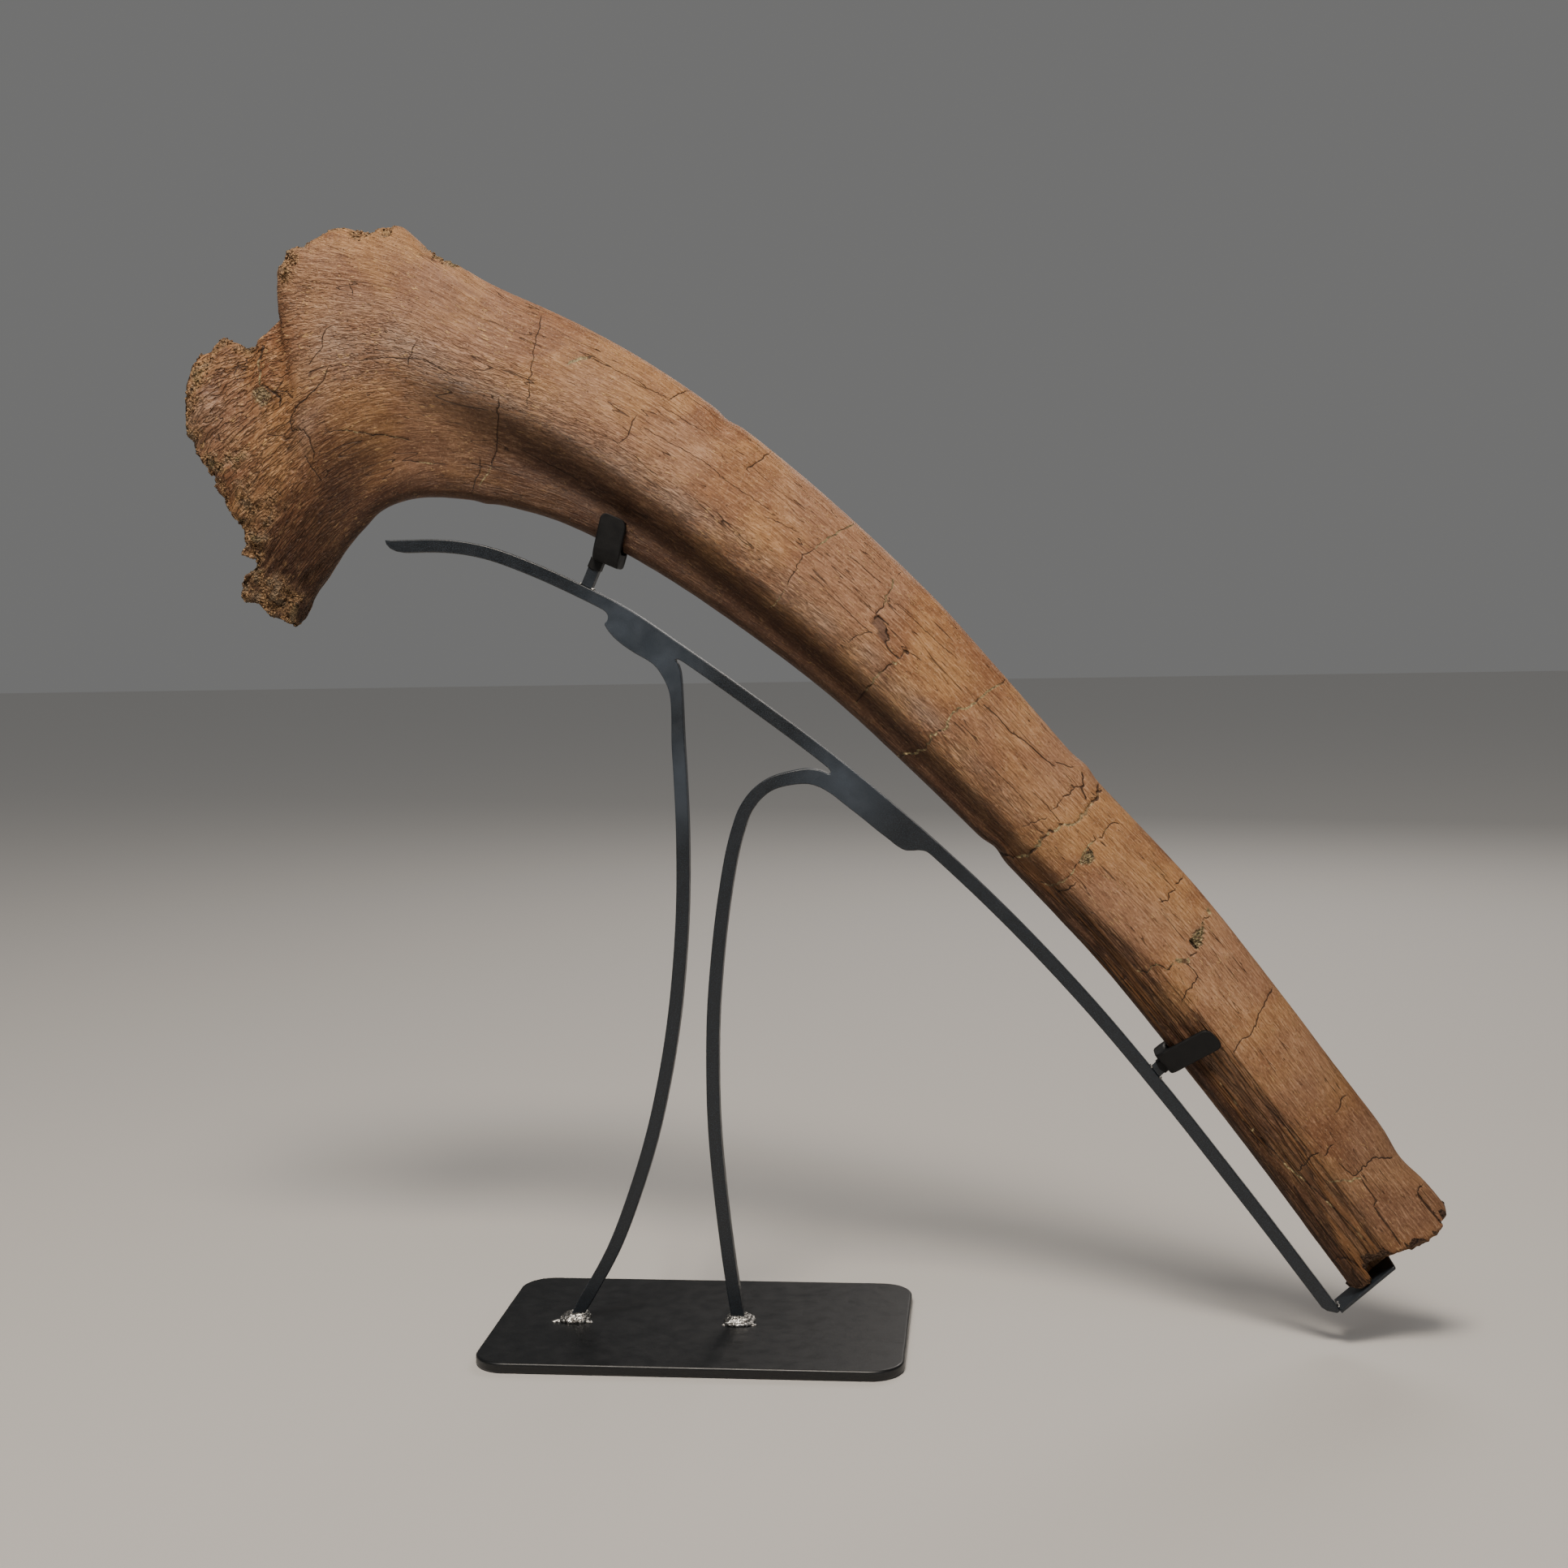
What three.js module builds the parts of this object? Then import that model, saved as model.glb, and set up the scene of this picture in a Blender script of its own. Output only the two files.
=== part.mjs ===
// A broken dinosaur rib, held on a welded steel display stand.
// Millimetres, +Z up. The origin is the centre of the base plate's underside, X runs along the
// plate's long side toward the rib's tip, and the rib shows its front toward -Y.

import * as THREE from 'three';

// Driving dimensions: the stand's bar and plate stock
const plateLength = 254;
const plateDepth = 152.4;
const plateThick = 6.35;
const plateCorner = 20;
const plateEdge = 1.6;
const barSize = 7.9;
const barEdge = 0.8;
const stubSize = 7;
const stubEdge = 0.5;
const ledgeThick = 2;
const ledgeDepth = 20;
const weldHeight = 4.5;
const weldReach = 5.5;
const weldColumns = 20;
const seatGap = 0.3;

// Driving dimensions: the rib's edges and broken ends
const lowRim = 6;
const highRim = 12;
const headTaper = 16;
const headReach = 60;
const headBow = 14;
const bowLength = 240;
const tipReach = 16;
const headRoughness = 1.6;
const shaftRoughness = 0.35;
const spongeDepth = 3;
const hollowDepth = 9;
const headWornShare = 0.62;
const spongeLump = 6;
const surfaceLump = 11;
const backLumpShift = 50;
const crestShoulder = 0.35;
const grooveShoulder = 1;
const highBumpShare = 0.25;
const lowBumpShare = 0.2;
const edgeSpreadMost = 0.14;
const edgeSpreadLength = 400;
const headInward = [0.97, 0.25];
const tipInward = [-0.665, 0.747];

// How finely the rib is meshed: columns across a face, and row spacings along it
const ribColumns = 20;
const headRowStep = 8.5;
const bladeRowStep = 14.5;
const tipRowStep = 7;
const denseLength = 200;

// Stations across the rib, from its head to its tip. low and high are its two edges in X and Z.
// crest and groove give their place across the width, 0 at the low edge and 1 at the high one, and
// how far they stand toward the front. front is that depth at the two edges, and back is the depth
// behind at the low edge, the middle and the high edge.
const stations = [
  { low: [-245, 440], high: [-301, 604], crest: [0.6, 13], groove: [0.25, 9], front: [9, 11], back: [8, 12, 10] },
  { low: [-234, 454], high: [-274, 611], crest: [0.6, 14], groove: [0.26, 9], front: [9, 11], back: [8, 13, 10] },
  { low: [-224, 466], high: [-248, 618], crest: [0.6, 16], groove: [0.27, 9], front: [8, 12], back: [8, 13, 11] },
  { low: [-216, 476], high: [-244, 648], crest: [0.59, 19], groove: [0.28, 9], front: [8, 15], back: [8, 14, 14] },
  { low: [-208, 486], high: [-233, 666], crest: [0.58, 21], groove: [0.28, 9], front: [8, 16], back: [8, 14, 15] },
  { low: [-198, 496], high: [-204, 675], crest: [0.57, 23], groove: [0.29, 9], front: [7, 15], back: [8, 14, 15] },
  { low: [-185, 507], high: [-168, 672], crest: [0.55, 25], groove: [0.3, 10], front: [7, 14], back: [8, 15, 14] },
  { low: [-164, 513], high: [-140, 652], crest: [0.52, 26], groove: [0.32, 10], front: [7, 13], back: [8, 15, 13] },
  { low: [-137, 512], high: [-107, 635], crest: [0.5, 26], groove: [0.33, 9], front: [7, 12], back: [8, 16, 12] },
  { low: [-105, 506], high: [-63, 614], crest: [0.48, 26], groove: [0.34, 8], front: [7, 12], back: [8, 16, 11] },
  { low: [-67, 493], high: [-18, 588], crest: [0.46, 25], groove: [0.31, 6], front: [7, 11], back: [8, 16, 10] },
  { low: [-18, 466], high: [35, 550], crest: [0.45, 24], groove: [0.28, 5], front: [6, 11], back: [8, 16, 10] },
  { low: [33, 431], high: [87, 506], crest: [0.43, 23], groove: [0.25, 5], front: [6, 10], back: [8, 15, 10] },
  { low: [83, 392], high: [143, 452], crest: [0.41, 21], groove: [0.21, 6], front: [6, 10], back: [8, 15, 9] },
  { low: [124, 354], high: [182, 408], crest: [0.36, 19], groove: [0.17, 7], front: [6, 10], back: [8, 14, 9] },
  { low: [182, 296], high: [235, 346], crest: [0.25, 17], groove: [0.1, 9], front: [8, 10], back: [8, 13, 9] },
  { low: [240, 233], high: [297, 278], crest: [0.24, 15], groove: [0.1, 9], front: [8, 9], back: [8, 12, 8] },
  { low: [285, 177], high: [343, 219], crest: [0.3, 14], groove: [0.12, 9], front: [8, 9], back: [8, 12, 8] },
  { low: [337, 108], high: [394, 150], crest: [0.32, 13], groove: [0.14, 9], front: [8, 9], back: [8, 11, 8] },
  { low: [389, 36], high: [444, 85], crest: [0.34, 13], groove: [0.15, 9], front: [8, 9], back: [8, 11, 8] },
];

// The head's broken edge: place across the width, then X and Z
const headEdge = [
  [0, -245, 440], [0.05, -254, 443], [0.1, -266, 449], [0.14, -279, 455], [0.18, -280, 465],
  [0.22, -268, 474], [0.27, -277, 482], [0.34, -275, 495], [0.43, -284, 511], [0.58, -298, 535],
  [0.74, -309, 561], [0.86, -307, 579], [0.94, -304, 594], [1, -301, 604],
];

// The tip's broken edge: place across the width, then how far the front and the back reach out
const tipEdge = [
  [0, 0, 0], [0.05, 3, 2.6], [0.12, 3.7, 3.3], [0.18, 2, 3.3], [0.22, -3, 3], [0.34, -2.5, 4], [0.42, 1, 4],
  [0.5, 2.5, 2], [0.58, 7, 5], [0.66, 8.5, 7], [0.74, 7.5, 7], [0.87, 3.5, 4], [1, -1, -1],
];

// Knobs and nicks on the two edges: millimetres from the head, height and half width
const highBumps = [
  [12, 4, 6], [33, 2, 5], [50, -3, 8], [88, -3, 8], [117, -4, 6], [126, 3, 5], [138, -2, 6], [161, 1.5, 10],
  [322, -1.5, 6], [605, 1.5, 7], [898, -3, 16],
];
const lowBumps = [[205, 1, 7], [603, -2, 7]];

// Swellings of the front at the head: millimetres from the head, place across, height, half length
// and half width. A lip on the broken edge, the hollow behind it, and the knob at the top corner.
const headSwells = [[4, 0.75, 3, 9, 0.4], [27, 0.8, -4, 14, 0.3], [82, 0.9, 4, 16, 0.12]];

// The stand's frame in X and Z: the spine's upper edge, and the centre line of each leg
const spineTop = [
  [-183, 488], [-145, 487.5], [-120, 483], [-93, 473], [-65, 460], [-36, 444.5], [-4.5, 422.8], [36.5, 393.2],
  [87.5, 354.3], [142.5, 307], [193, 258.3], [241, 206], [286, 151], [316, 112], [347, 71], [383.5, 21.5],
];
const spineTipLength = 16;
const leftLeg = [
  [-79.6, plateThick], [-71.5, 20], [-54, 51], [-39.2, 88], [-27.6, 124.5], [-19, 161], [-12.7, 197], [-8.5, 233],
  [-6, 268], [-5.2, 310], [-5.8, 339], [-7.2, 374], [-8.2, 391], [-11.5, 403],
];
const rightLeg = [
  [23.4, plateThick], [21.2, 20], [17.1, 51], [13.3, 88], [10.7, 124], [10.1, 155], [11.2, 196], [14.4, 232],
  [19.1, 267], [25.8, 300], [33.4, 322.5], [43.3, 334.5], [54, 340.3], [66, 341.8],
];

// Where each leg's bent top lies along the spine, as shares of the spine's length
const leftSeam = { from: 0.24, to: 0.197 };
const rightSeam = { from: 0.425, to: 0.5 };
const seamGap = 0.5;
const spineSteps = 34;
const legSteps = 42;
const seamSteps = 5;

// The cradles that grip the rib's low edge. at is the stub's place along the spine and tilt its lean in
// degrees. seat is the pad's place on the rib's edge, slope the edge's fall there and lean the pad's own
// lean, in degrees. web is the pad's thickness under the edge, reach how far its fingers stand above it,
// and front and back their inner depths there and at the top.
const cradleSkin = 4;
const cradleEdge = 1.2;
const cradleCorner = 4.5;
const upperCradle = {
  at: 0.17, tilt: 2.4, seat: [-45.1, 480.85], slope: 24, lean: 14.5, width: 16.8, web: 10.5, reach: 18.4,
  front: [8.3, 8.5], back: [9.2, 11.6],
};
const lowerCradle = {
  at: 0.7633, tilt: 3.4, seat: [286.2, 174.2], slope: 48, lean: 57, width: 14.6, web: 8, reach: 27.2,
  front: [8.4, 16.3], back: [9.2, 12],
};

// The end ledge: where it leaves the spine's end, and its tip
const ledgeStart = [381.9, 24.3];
const ledgeTip = [413.3, 50.1];

// Colours and finishes
const bone = { color: 0x9a6b48, roughness: 0.72, metalness: 0 };
const coatedSteel = { color: 0x1b1d20, roughness: 0.42, metalness: 0.3 };
const bareWeld = { color: 0xb9b9b6, roughness: 0.35, metalness: 1 };
const rubber = { color: 0x0b0b0c, roughness: 0.6, metalness: 0 };

const mix = (a, b, part) => a + (b - a) * part;
const clamp01 = (value) => Math.min(1, Math.max(0, value));

function ease(part) {
  const p = clamp01(part);
  return p * p * (3 - 2 * p);
}

function cubic(before, a, b, after, part) {
  const slopeA = (b - before) / 2;
  const slopeB = (after - a) / 2;
  const bend = 2 * (a - b) + slopeA + slopeB;
  return a + part * (slopeA + part * (3 * (b - a) - 2 * slopeA - slopeB + part * bend));
}

// A smooth value through the stations at a fractional station number
function alongStations(pick, place) {
  const last = stations.length - 1;
  const i = Math.min(Math.floor(place), last - 1);
  const a = pick(stations[i]);
  const b = pick(stations[i + 1]);
  const before = i > 0 ? pick(stations[i - 1]) : 2 * a - b;
  const after = i + 2 <= last ? pick(stations[i + 2]) : 2 * b - a;
  return cubic(before, a, b, after, place - i);
}

// A smooth value through [place, value] knots with uneven spacing
function throughKnots(knots, place) {
  const last = knots.length - 1;
  let i = 0;
  while (i < last - 1 && place > knots[i + 1][0]) i += 1;
  const slope = (k) => {
    const low = knots[Math.max(k - 1, 0)];
    const high = knots[Math.min(k + 1, last)];
    return (high[1] - low[1]) / (high[0] - low[0]);
  };
  const span = knots[i + 1][0] - knots[i][0];
  const part = clamp01((place - knots[i][0]) / span);
  const a = knots[i][1];
  const b = knots[i + 1][1];
  const slopeA = slope(i) * span;
  const slopeB = slope(i + 1) * span;
  const bend = 2 * (a - b) + slopeA + slopeB;
  return a + part * (slopeA + part * (3 * (b - a) - 2 * slopeA - slopeB + part * bend));
}

// A straight-line reading of column `item` in a table whose first column is the place
function readTable(table, place, item) {
  let i = 0;
  while (i < table.length - 2 && place > table[i + 1][0]) i += 1;
  const part = (place - table[i][0]) / (table[i + 1][0] - table[i][0]);
  return mix(table[i][item], table[i + 1][item], clamp01(part));
}

function scatter(a, b) {
  const wave = Math.sin(a * 127.1 + b * 311.7) * 43758.5453;
  return wave - Math.floor(wave);
}

// Smooth lumps between -1 and 1, one unit across
function lumps(a, b) {
  const i = Math.floor(a);
  const j = Math.floor(b);
  const u = ease(a - i);
  const v = ease(b - j);
  const near = mix(scatter(i, j), scatter(i + 1, j), u);
  const far = mix(scatter(i, j + 1), scatter(i + 1, j + 1), u);
  return 2 * mix(near, far, v) - 1;
}

function bumpHeight(bumps, distance) {
  return bumps.reduce((sum, [at, height, half]) => sum + height * Math.exp(-(((distance - at) / half) ** 2)), 0);
}

// Rows along the rib: station number and distance from the head, closer together at the head
const ribRows = (() => {
  const finePerStation = 200;
  const fineCount = (stations.length - 1) * finePerStation;
  const middle = (place, axis) => alongStations((s) => (s.low[axis] + s.high[axis]) / 2, place);
  const fine = [[0, 0]];
  for (let k = 1; k <= fineCount; k += 1) {
    const place = k / finePerStation;
    const before = (k - 1) / finePerStation;
    const step = Math.hypot(middle(place, 0) - middle(before, 0), middle(place, 1) - middle(before, 1));
    fine.push([fine[k - 1][0] + step, place]);
  }
  const total = fine[fineCount][0];
  const rowStep = (distance) => {
    if (distance < denseLength) return headRowStep;
    return total - distance < 2 * tipReach ? tipRowStep : bladeRowStep;
  };
  const rows = [];
  for (let distance = 0; distance < total - tipRowStep / 2; distance += rowStep(distance)) {
    rows.push({ distance, place: readTable(fine, distance, 1), left: total - distance });
  }
  rows.push({ distance: total, place: stations.length - 1, left: 0 });
  return rows;
})();

function edgeBlend(row, t) {
  const low = [0, 1].map((axis) => alongStations((s) => s.low[axis], row.place));
  const high = [0, 1].map((axis) => alongStations((s) => s.high[axis], row.place));
  const width = Math.hypot(high[0] - low[0], high[1] - low[1]);
  const across = [(high[0] - low[0]) / width, (high[1] - low[1]) / width];
  const grow = bumpHeight(highBumps, row.distance) * ease((t - 1 + highBumpShare) / highBumpShare);
  const drop = bumpHeight(lowBumps, row.distance) * ease((lowBumpShare - t) / lowBumpShare);
  const x = mix(low[0], high[0], t) + across[0] * (grow - drop);
  const z = mix(low[1], high[1], t) + across[1] * (grow - drop);
  return { x, z, width, across };
}

// How far the head's ragged edge lies from the first station's line
function edgeExcess(t, axis) {
  const first = stations[0];
  return readTable(headEdge, clamp01(t), axis + 1) - mix(first.low[axis], first.high[axis], clamp01(t));
}

// That edge is averaged over more of the width the deeper it reaches into the bone
function headOffset(distance, t, axis) {
  const spread = Math.min(edgeSpreadMost, distance / edgeSpreadLength);
  const average = (at) => [-1, -0.5, 0, 0.5, 1].reduce((sum, k) => sum + edgeExcess(at + k * spread, axis) / 5, 0);
  const pinned = average(t) - mix(average(0), average(1), t);
  return (1 - ease(distance / headReach)) * pinned;
}

function tipOffset(left, t, isFront) {
  const reach = 1 - ease(left / tipReach);
  return reach * readTable(tipEdge, t, isFront ? 1 : 2);
}

function frontDepth(place, t) {
  const pick = (read) => alongStations(read, place);
  const crestAt = pick((s) => s.crest[0]);
  const crest = pick((s) => s.crest[1]);
  const grooveAt = pick((s) => s.groove[0]);
  const groove = pick((s) => s.groove[1]);
  const low = pick((s) => s.front[0]);
  const high = pick((s) => s.front[1]);
  const knots = [
    [0, low], [grooveAt / 2, low + grooveShoulder], [grooveAt, groove], [crestAt, crest],
    [(1 + crestAt) / 2, mix(crest, high, crestShoulder)], [1, high],
  ];
  return throughKnots(knots, t);
}

function headSwell(distance, t) {
  return headSwells.reduce((sum, [at, across, height, halfLength, halfWidth]) => {
    const spread = ((distance - at) / halfLength) ** 2 + ((t - across) / halfWidth) ** 2;
    return sum + height * Math.exp(-spread);
  }, 0);
}

function backDepth(place, t) {
  const depths = [0, 1, 2].map((item) => alongStations((s) => s.back[item], place));
  return throughKnots([[0, depths[0]], [0.5, depths[1]], [1, depths[2]]], t);
}

// How much of the full depth is left near a rounded edge
function rimRound(fromEdge, radius) {
  const inward = clamp01(fromEdge / radius);
  return Math.sqrt(1 - (1 - inward) ** 2);
}

function ribPoint(row, t, isFront) {
  const flat = edgeBlend(row, t);
  const out = [flat.across[1], -flat.across[0]];
  const tip = tipOffset(row.left, t, isFront);
  const x = flat.x + headOffset(row.distance, t, 0) + out[0] * tip;
  const z = flat.z + headOffset(row.distance, t, 1) + out[1] * tip;
  const front = frontDepth(row.place, t) + headSwell(row.distance, t);
  const back = backDepth(row.place, t);
  const round = rimRound(t * flat.width, lowRim) * rimRound((1 - t) * flat.width, highRim);
  const worn = mix(headWornShare, 1, ease(row.distance / headTaper));
  const rough = mix(headRoughness, shaftRoughness, ease(row.distance / headReach));
  const lump = lumps(x / surfaceLump, z / surfaceLump + (isFront ? 0 : backLumpShift));
  const half = ((front + back) / 2) * round * worn + rough * round * lump;
  const bow = headBow * Math.max(0, 1 - row.distance / bowLength) ** 2;
  const middle = (back - front) / 2 + bow;
  return [x, isFront ? middle - half : middle + half, z];
}

function closedGeometry(points, faces) {
  const geometry = new THREE.BufferGeometry();
  geometry.setAttribute('position', new THREE.Float32BufferAttribute(points.flat(), 3));
  geometry.setIndex(faces.flat());
  geometry.computeVertexNormals();
  return geometry;
}

// The spongy face of a broken end, sunk between the front and the back walls
function endMiddle(frontPoint, backPoint, inward, depth) {
  const wobble = lumps(frontPoint[0] / spongeLump, frontPoint[2] / spongeLump);
  const sink = depth * (0.6 + 0.4 * wobble);
  return [
    mix(frontPoint[0], backPoint[0], 0.5) + inward[0] * sink,
    mix(frontPoint[1], backPoint[1], 0.5),
    mix(frontPoint[2], backPoint[2], 0.5) + inward[1] * sink,
  ];
}

function ribGeometry() {
  const columns = Array.from({ length: ribColumns + 1 }, (_, k) => 0.5 - 0.5 * Math.cos((Math.PI * k) / ribColumns));
  const ring = 2 * ribColumns;
  const points = [];
  ribRows.forEach((row) => {
    columns.forEach((t) => points.push(ribPoint(row, t, true)));
    columns.slice(1, -1).reverse().forEach((t) => points.push(ribPoint(row, t, false)));
  });
  const faces = [];
  for (let row = 0; row < ribRows.length - 1; row += 1) {
    for (let k = 0; k < ring; k += 1) {
      const a = row * ring + k;
      const b = row * ring + ((k + 1) % ring);
      faces.push([a, a + ring, b], [b, a + ring, b + ring]);
    }
  }
  closeEnd(points, faces, 0, headInward, spongeDepth, false);
  closeEnd(points, faces, (ribRows.length - 1) * ring, tipInward, hollowDepth, true);
  return closedGeometry(points, faces);
}

// Closes one end of the rib with a row of sunk points between its front and its back edge
function closeEnd(points, faces, start, inward, depth, flip) {
  const ring = 2 * ribColumns;
  const frontAt = (k) => start + k;
  const backAt = (k) => (k === 0 || k === ribColumns ? start + k : start + ring - k);
  const middleAt = Array.from({ length: ribColumns + 1 }, (_, k) => {
    if (k === 0 || k === ribColumns) return start + k;
    const edgeFade = Math.sin((Math.PI * k) / ribColumns);
    points.push(endMiddle(points[frontAt(k)], points[backAt(k)], inward, depth * edgeFade));
    return points.length - 1;
  });
  const addFace = (a, b, c) => {
    if (a === b || b === c || a === c) return;
    faces.push(flip ? [a, c, b] : [a, b, c]);
  };
  for (let k = 0; k < ribColumns; k += 1) {
    addFace(frontAt(k), frontAt(k + 1), middleAt[k + 1]);
    addFace(frontAt(k), middleAt[k + 1], middleAt[k]);
    addFace(middleAt[k], middleAt[k + 1], backAt(k + 1));
    addFace(middleAt[k], backAt(k + 1), backAt(k));
  }
}

// A flat outline in X and Z, given a depth in Y centred on zero
function slab(outline, depth, edge) {
  const shape = new THREE.Shape(outline.map(([x, z]) => new THREE.Vector2(x, z)));
  const geometry = new THREE.ExtrudeGeometry(shape, {
    depth: depth - 2 * edge,
    steps: 1,
    bevelEnabled: true,
    bevelThickness: edge,
    bevelSize: edge,
    bevelOffset: -edge,
    bevelSegments: 1,
  });
  geometry.translate(0, 0, -(depth - 2 * edge) / 2);
  geometry.rotateX(Math.PI / 2);
  return geometry;
}

function curveThrough(points) {
  return new THREE.CatmullRomCurve3(points.map(([x, z]) => new THREE.Vector3(x, z, 0)), false, 'centripetal');
}

// The points of a curve, moved sideways to its left by `side`
function offsetCurve(curve, from, to, count, side) {
  return Array.from({ length: count + 1 }, (_, k) => {
    const u = mix(from, to, k / count);
    const point = curve.getPointAt(u);
    const along = curve.getTangentAt(u);
    return [point.x - along.y * side, point.y + along.x * side];
  });
}

const spineCurve = curveThrough(spineTop);

// The spine is cut to a point at its upper end, and level at its lower end
function spineGeometry() {
  const length = spineCurve.getLength();
  const upper = offsetCurve(spineCurve, 0, 1, spineSteps, 0);
  const lower = offsetCurve(spineCurve, spineTipLength / length, 1 - barSize / length, spineSteps, -barSize).reverse();
  const end = upper.at(-1);
  return slab([...upper, [end[0] - barSize, end[1]], ...lower], barSize, barEdge);
}

// A leg rises from the plate, and its top is bent to lie along the spine's underside
function legGeometry(legPoints, seam) {
  const half = barSize / 2;
  const bend = offsetCurve(spineCurve, seam.from, seam.to, seamSteps, -barSize - seamGap - half);
  const curve = curveThrough([...legPoints, ...bend]);
  const right = offsetCurve(curve, 0, 1, legSteps, -half);
  const left = offsetCurve(curve, 0, 1, legSteps, half).reverse();
  const foot = ([x]) => [x, plateThick];
  return slab([foot(right[0]), ...right.slice(1), ...left.slice(0, -1), foot(left.at(-1))], barSize, barEdge);
}

// The stub's foot on the spine and the direction it stands in
function stubPlace(cradle) {
  const foot = spineCurve.getPointAt(cradle.at);
  const along = spineCurve.getTangentAt(cradle.at);
  const angle = Math.atan2(along.x, -along.y) + THREE.MathUtils.degToRad(cradle.tilt);
  return { foot: [foot.x, foot.y], along: [along.x, along.y], up: [Math.cos(angle), Math.sin(angle)] };
}

// The pad's directions up its fingers and along the rib's edge
function padAxes(cradle) {
  const lean = THREE.MathUtils.degToRad(cradle.lean);
  const slope = THREE.MathUtils.degToRad(cradle.slope);
  return { up: [Math.sin(lean), Math.cos(lean)], along: [Math.cos(slope), -Math.sin(slope)] };
}

// The stub stands on the spine and ends just under the pad's flat underside
function stubGeometry(cradle) {
  const { foot, along, up } = stubPlace(cradle);
  const pad = padAxes(cradle);
  const half = stubSize / 2;
  const side = [up[1], -up[0]];
  const out = [-pad.along[1], pad.along[0]];
  const under = [cradle.seat[0] - pad.up[0] * cradle.web - foot[0], cradle.seat[1] - pad.up[1] * cradle.web - foot[1]];
  const room = (under[0] * out[0] + under[1] * out[1]) / (up[0] * out[0] + up[1] * out[1]);
  const lift = -(side[0] * out[0] + side[1] * out[1]) / (up[0] * out[0] + up[1] * out[1]);
  const corner = (height, across) => [
    foot[0] + up[0] * height + side[0] * across,
    foot[1] + up[1] * height + side[1] * across,
  ];
  const slope = (up[0] * along[0] + up[1] * along[1]) / (side[0] * along[0] + side[1] * along[1]);
  const base = (across) => 2 * seatGap + slope * across;
  const top = (across) => room - seatGap + lift * across;
  return slab([corner(base(-half), -half), corner(base(half), half), corner(top(half), half), corner(top(-half), -half)],
    stubSize, stubEdge);
}

// One side of the cradle's section, from the middle of its underside round the finger to the seat
function cradleSide(cradle, [foot, tip]) {
  const { web, reach } = cradle;
  const skin = cradleSkin;
  const inner = (height) => mix(foot, tip, clamp01(height / reach));
  const fall = [0, 0.35, 0.7, 1];
  const outerTop = fall.map((part) => reach - cradleCorner * (1 - part));
  return [
    [foot - skin, -web], [foot + skin * 0.1, 0.6 - web], [foot + skin * 0.75, 4 - web], [foot + skin, 8 - web],
    ...outerTop.map((height) => [inner(height) + skin - (height > reach - 0.1 ? 1 : 0), height]),
    ...outerTop.map((height) => [inner(height) + (height > reach - 0.1 ? 1 : 0), height]).reverse(),
    [inner(4), 4], [foot - 1, 1], [foot - 3.5, -seatGap],
  ];
}

function cradleGeometry(cradle) {
  const frontSide = cradleSide(cradle, cradle.front).map(([depth, height]) => [-depth, height]);
  const backSide = cradleSide(cradle, cradle.back);
  const outline = [...backSide, ...frontSide.reverse()];
  const shape = new THREE.Shape(outline.map(([depth, height]) => new THREE.Vector2(depth, height)));
  const geometry = new THREE.ExtrudeGeometry(shape, {
    depth: cradle.width - 2 * cradleEdge,
    bevelThickness: cradleEdge,
    bevelSize: cradleEdge,
    bevelOffset: -cradleEdge,
    bevelSegments: 2,
  });
  geometry.translate(0, 0, cradleEdge - cradle.width / 2);
  roundFingers(geometry, cradle);
  const { up, along } = padAxes(cradle);
  const place = new THREE.Matrix4().makeBasis(
    new THREE.Vector3(0, 1, 0),
    new THREE.Vector3(up[0], 0, up[1]),
    new THREE.Vector3(along[0], 0, along[1]),
  );
  place.setPosition(cradle.seat[0], 0, cradle.seat[1]);
  geometry.applyMatrix4(place);
  return geometry;
}

// Rounds the fingertips' corners as they are seen from the front
function roundFingers(geometry, { reach, width }) {
  const position = geometry.attributes.position;
  const straight = reach - cradleCorner;
  for (let i = 0; i < position.count; i += 1) {
    const over = Math.max(0, position.getY(i) - straight);
    const drop = cradleCorner - Math.sqrt(Math.max(0, cradleCorner ** 2 - over ** 2));
    const share = 1 - drop / (width / 2);
    position.setZ(i, position.getZ(i) * share);
  }
}

function ledgeGeometry() {
  const length = Math.hypot(ledgeTip[0] - ledgeStart[0], ledgeTip[1] - ledgeStart[1]);
  const along = [(ledgeTip[0] - ledgeStart[0]) / length, (ledgeTip[1] - ledgeStart[1]) / length];
  const half = ledgeThick / 2;
  const corner = (start, side) => [start[0] - along[1] * side, start[1] + along[0] * side];
  return slab([corner(ledgeStart, -half), corner(ledgeTip, -half), corner(ledgeTip, half), corner(ledgeStart, half)],
    ledgeDepth, 0.4);
}

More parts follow.
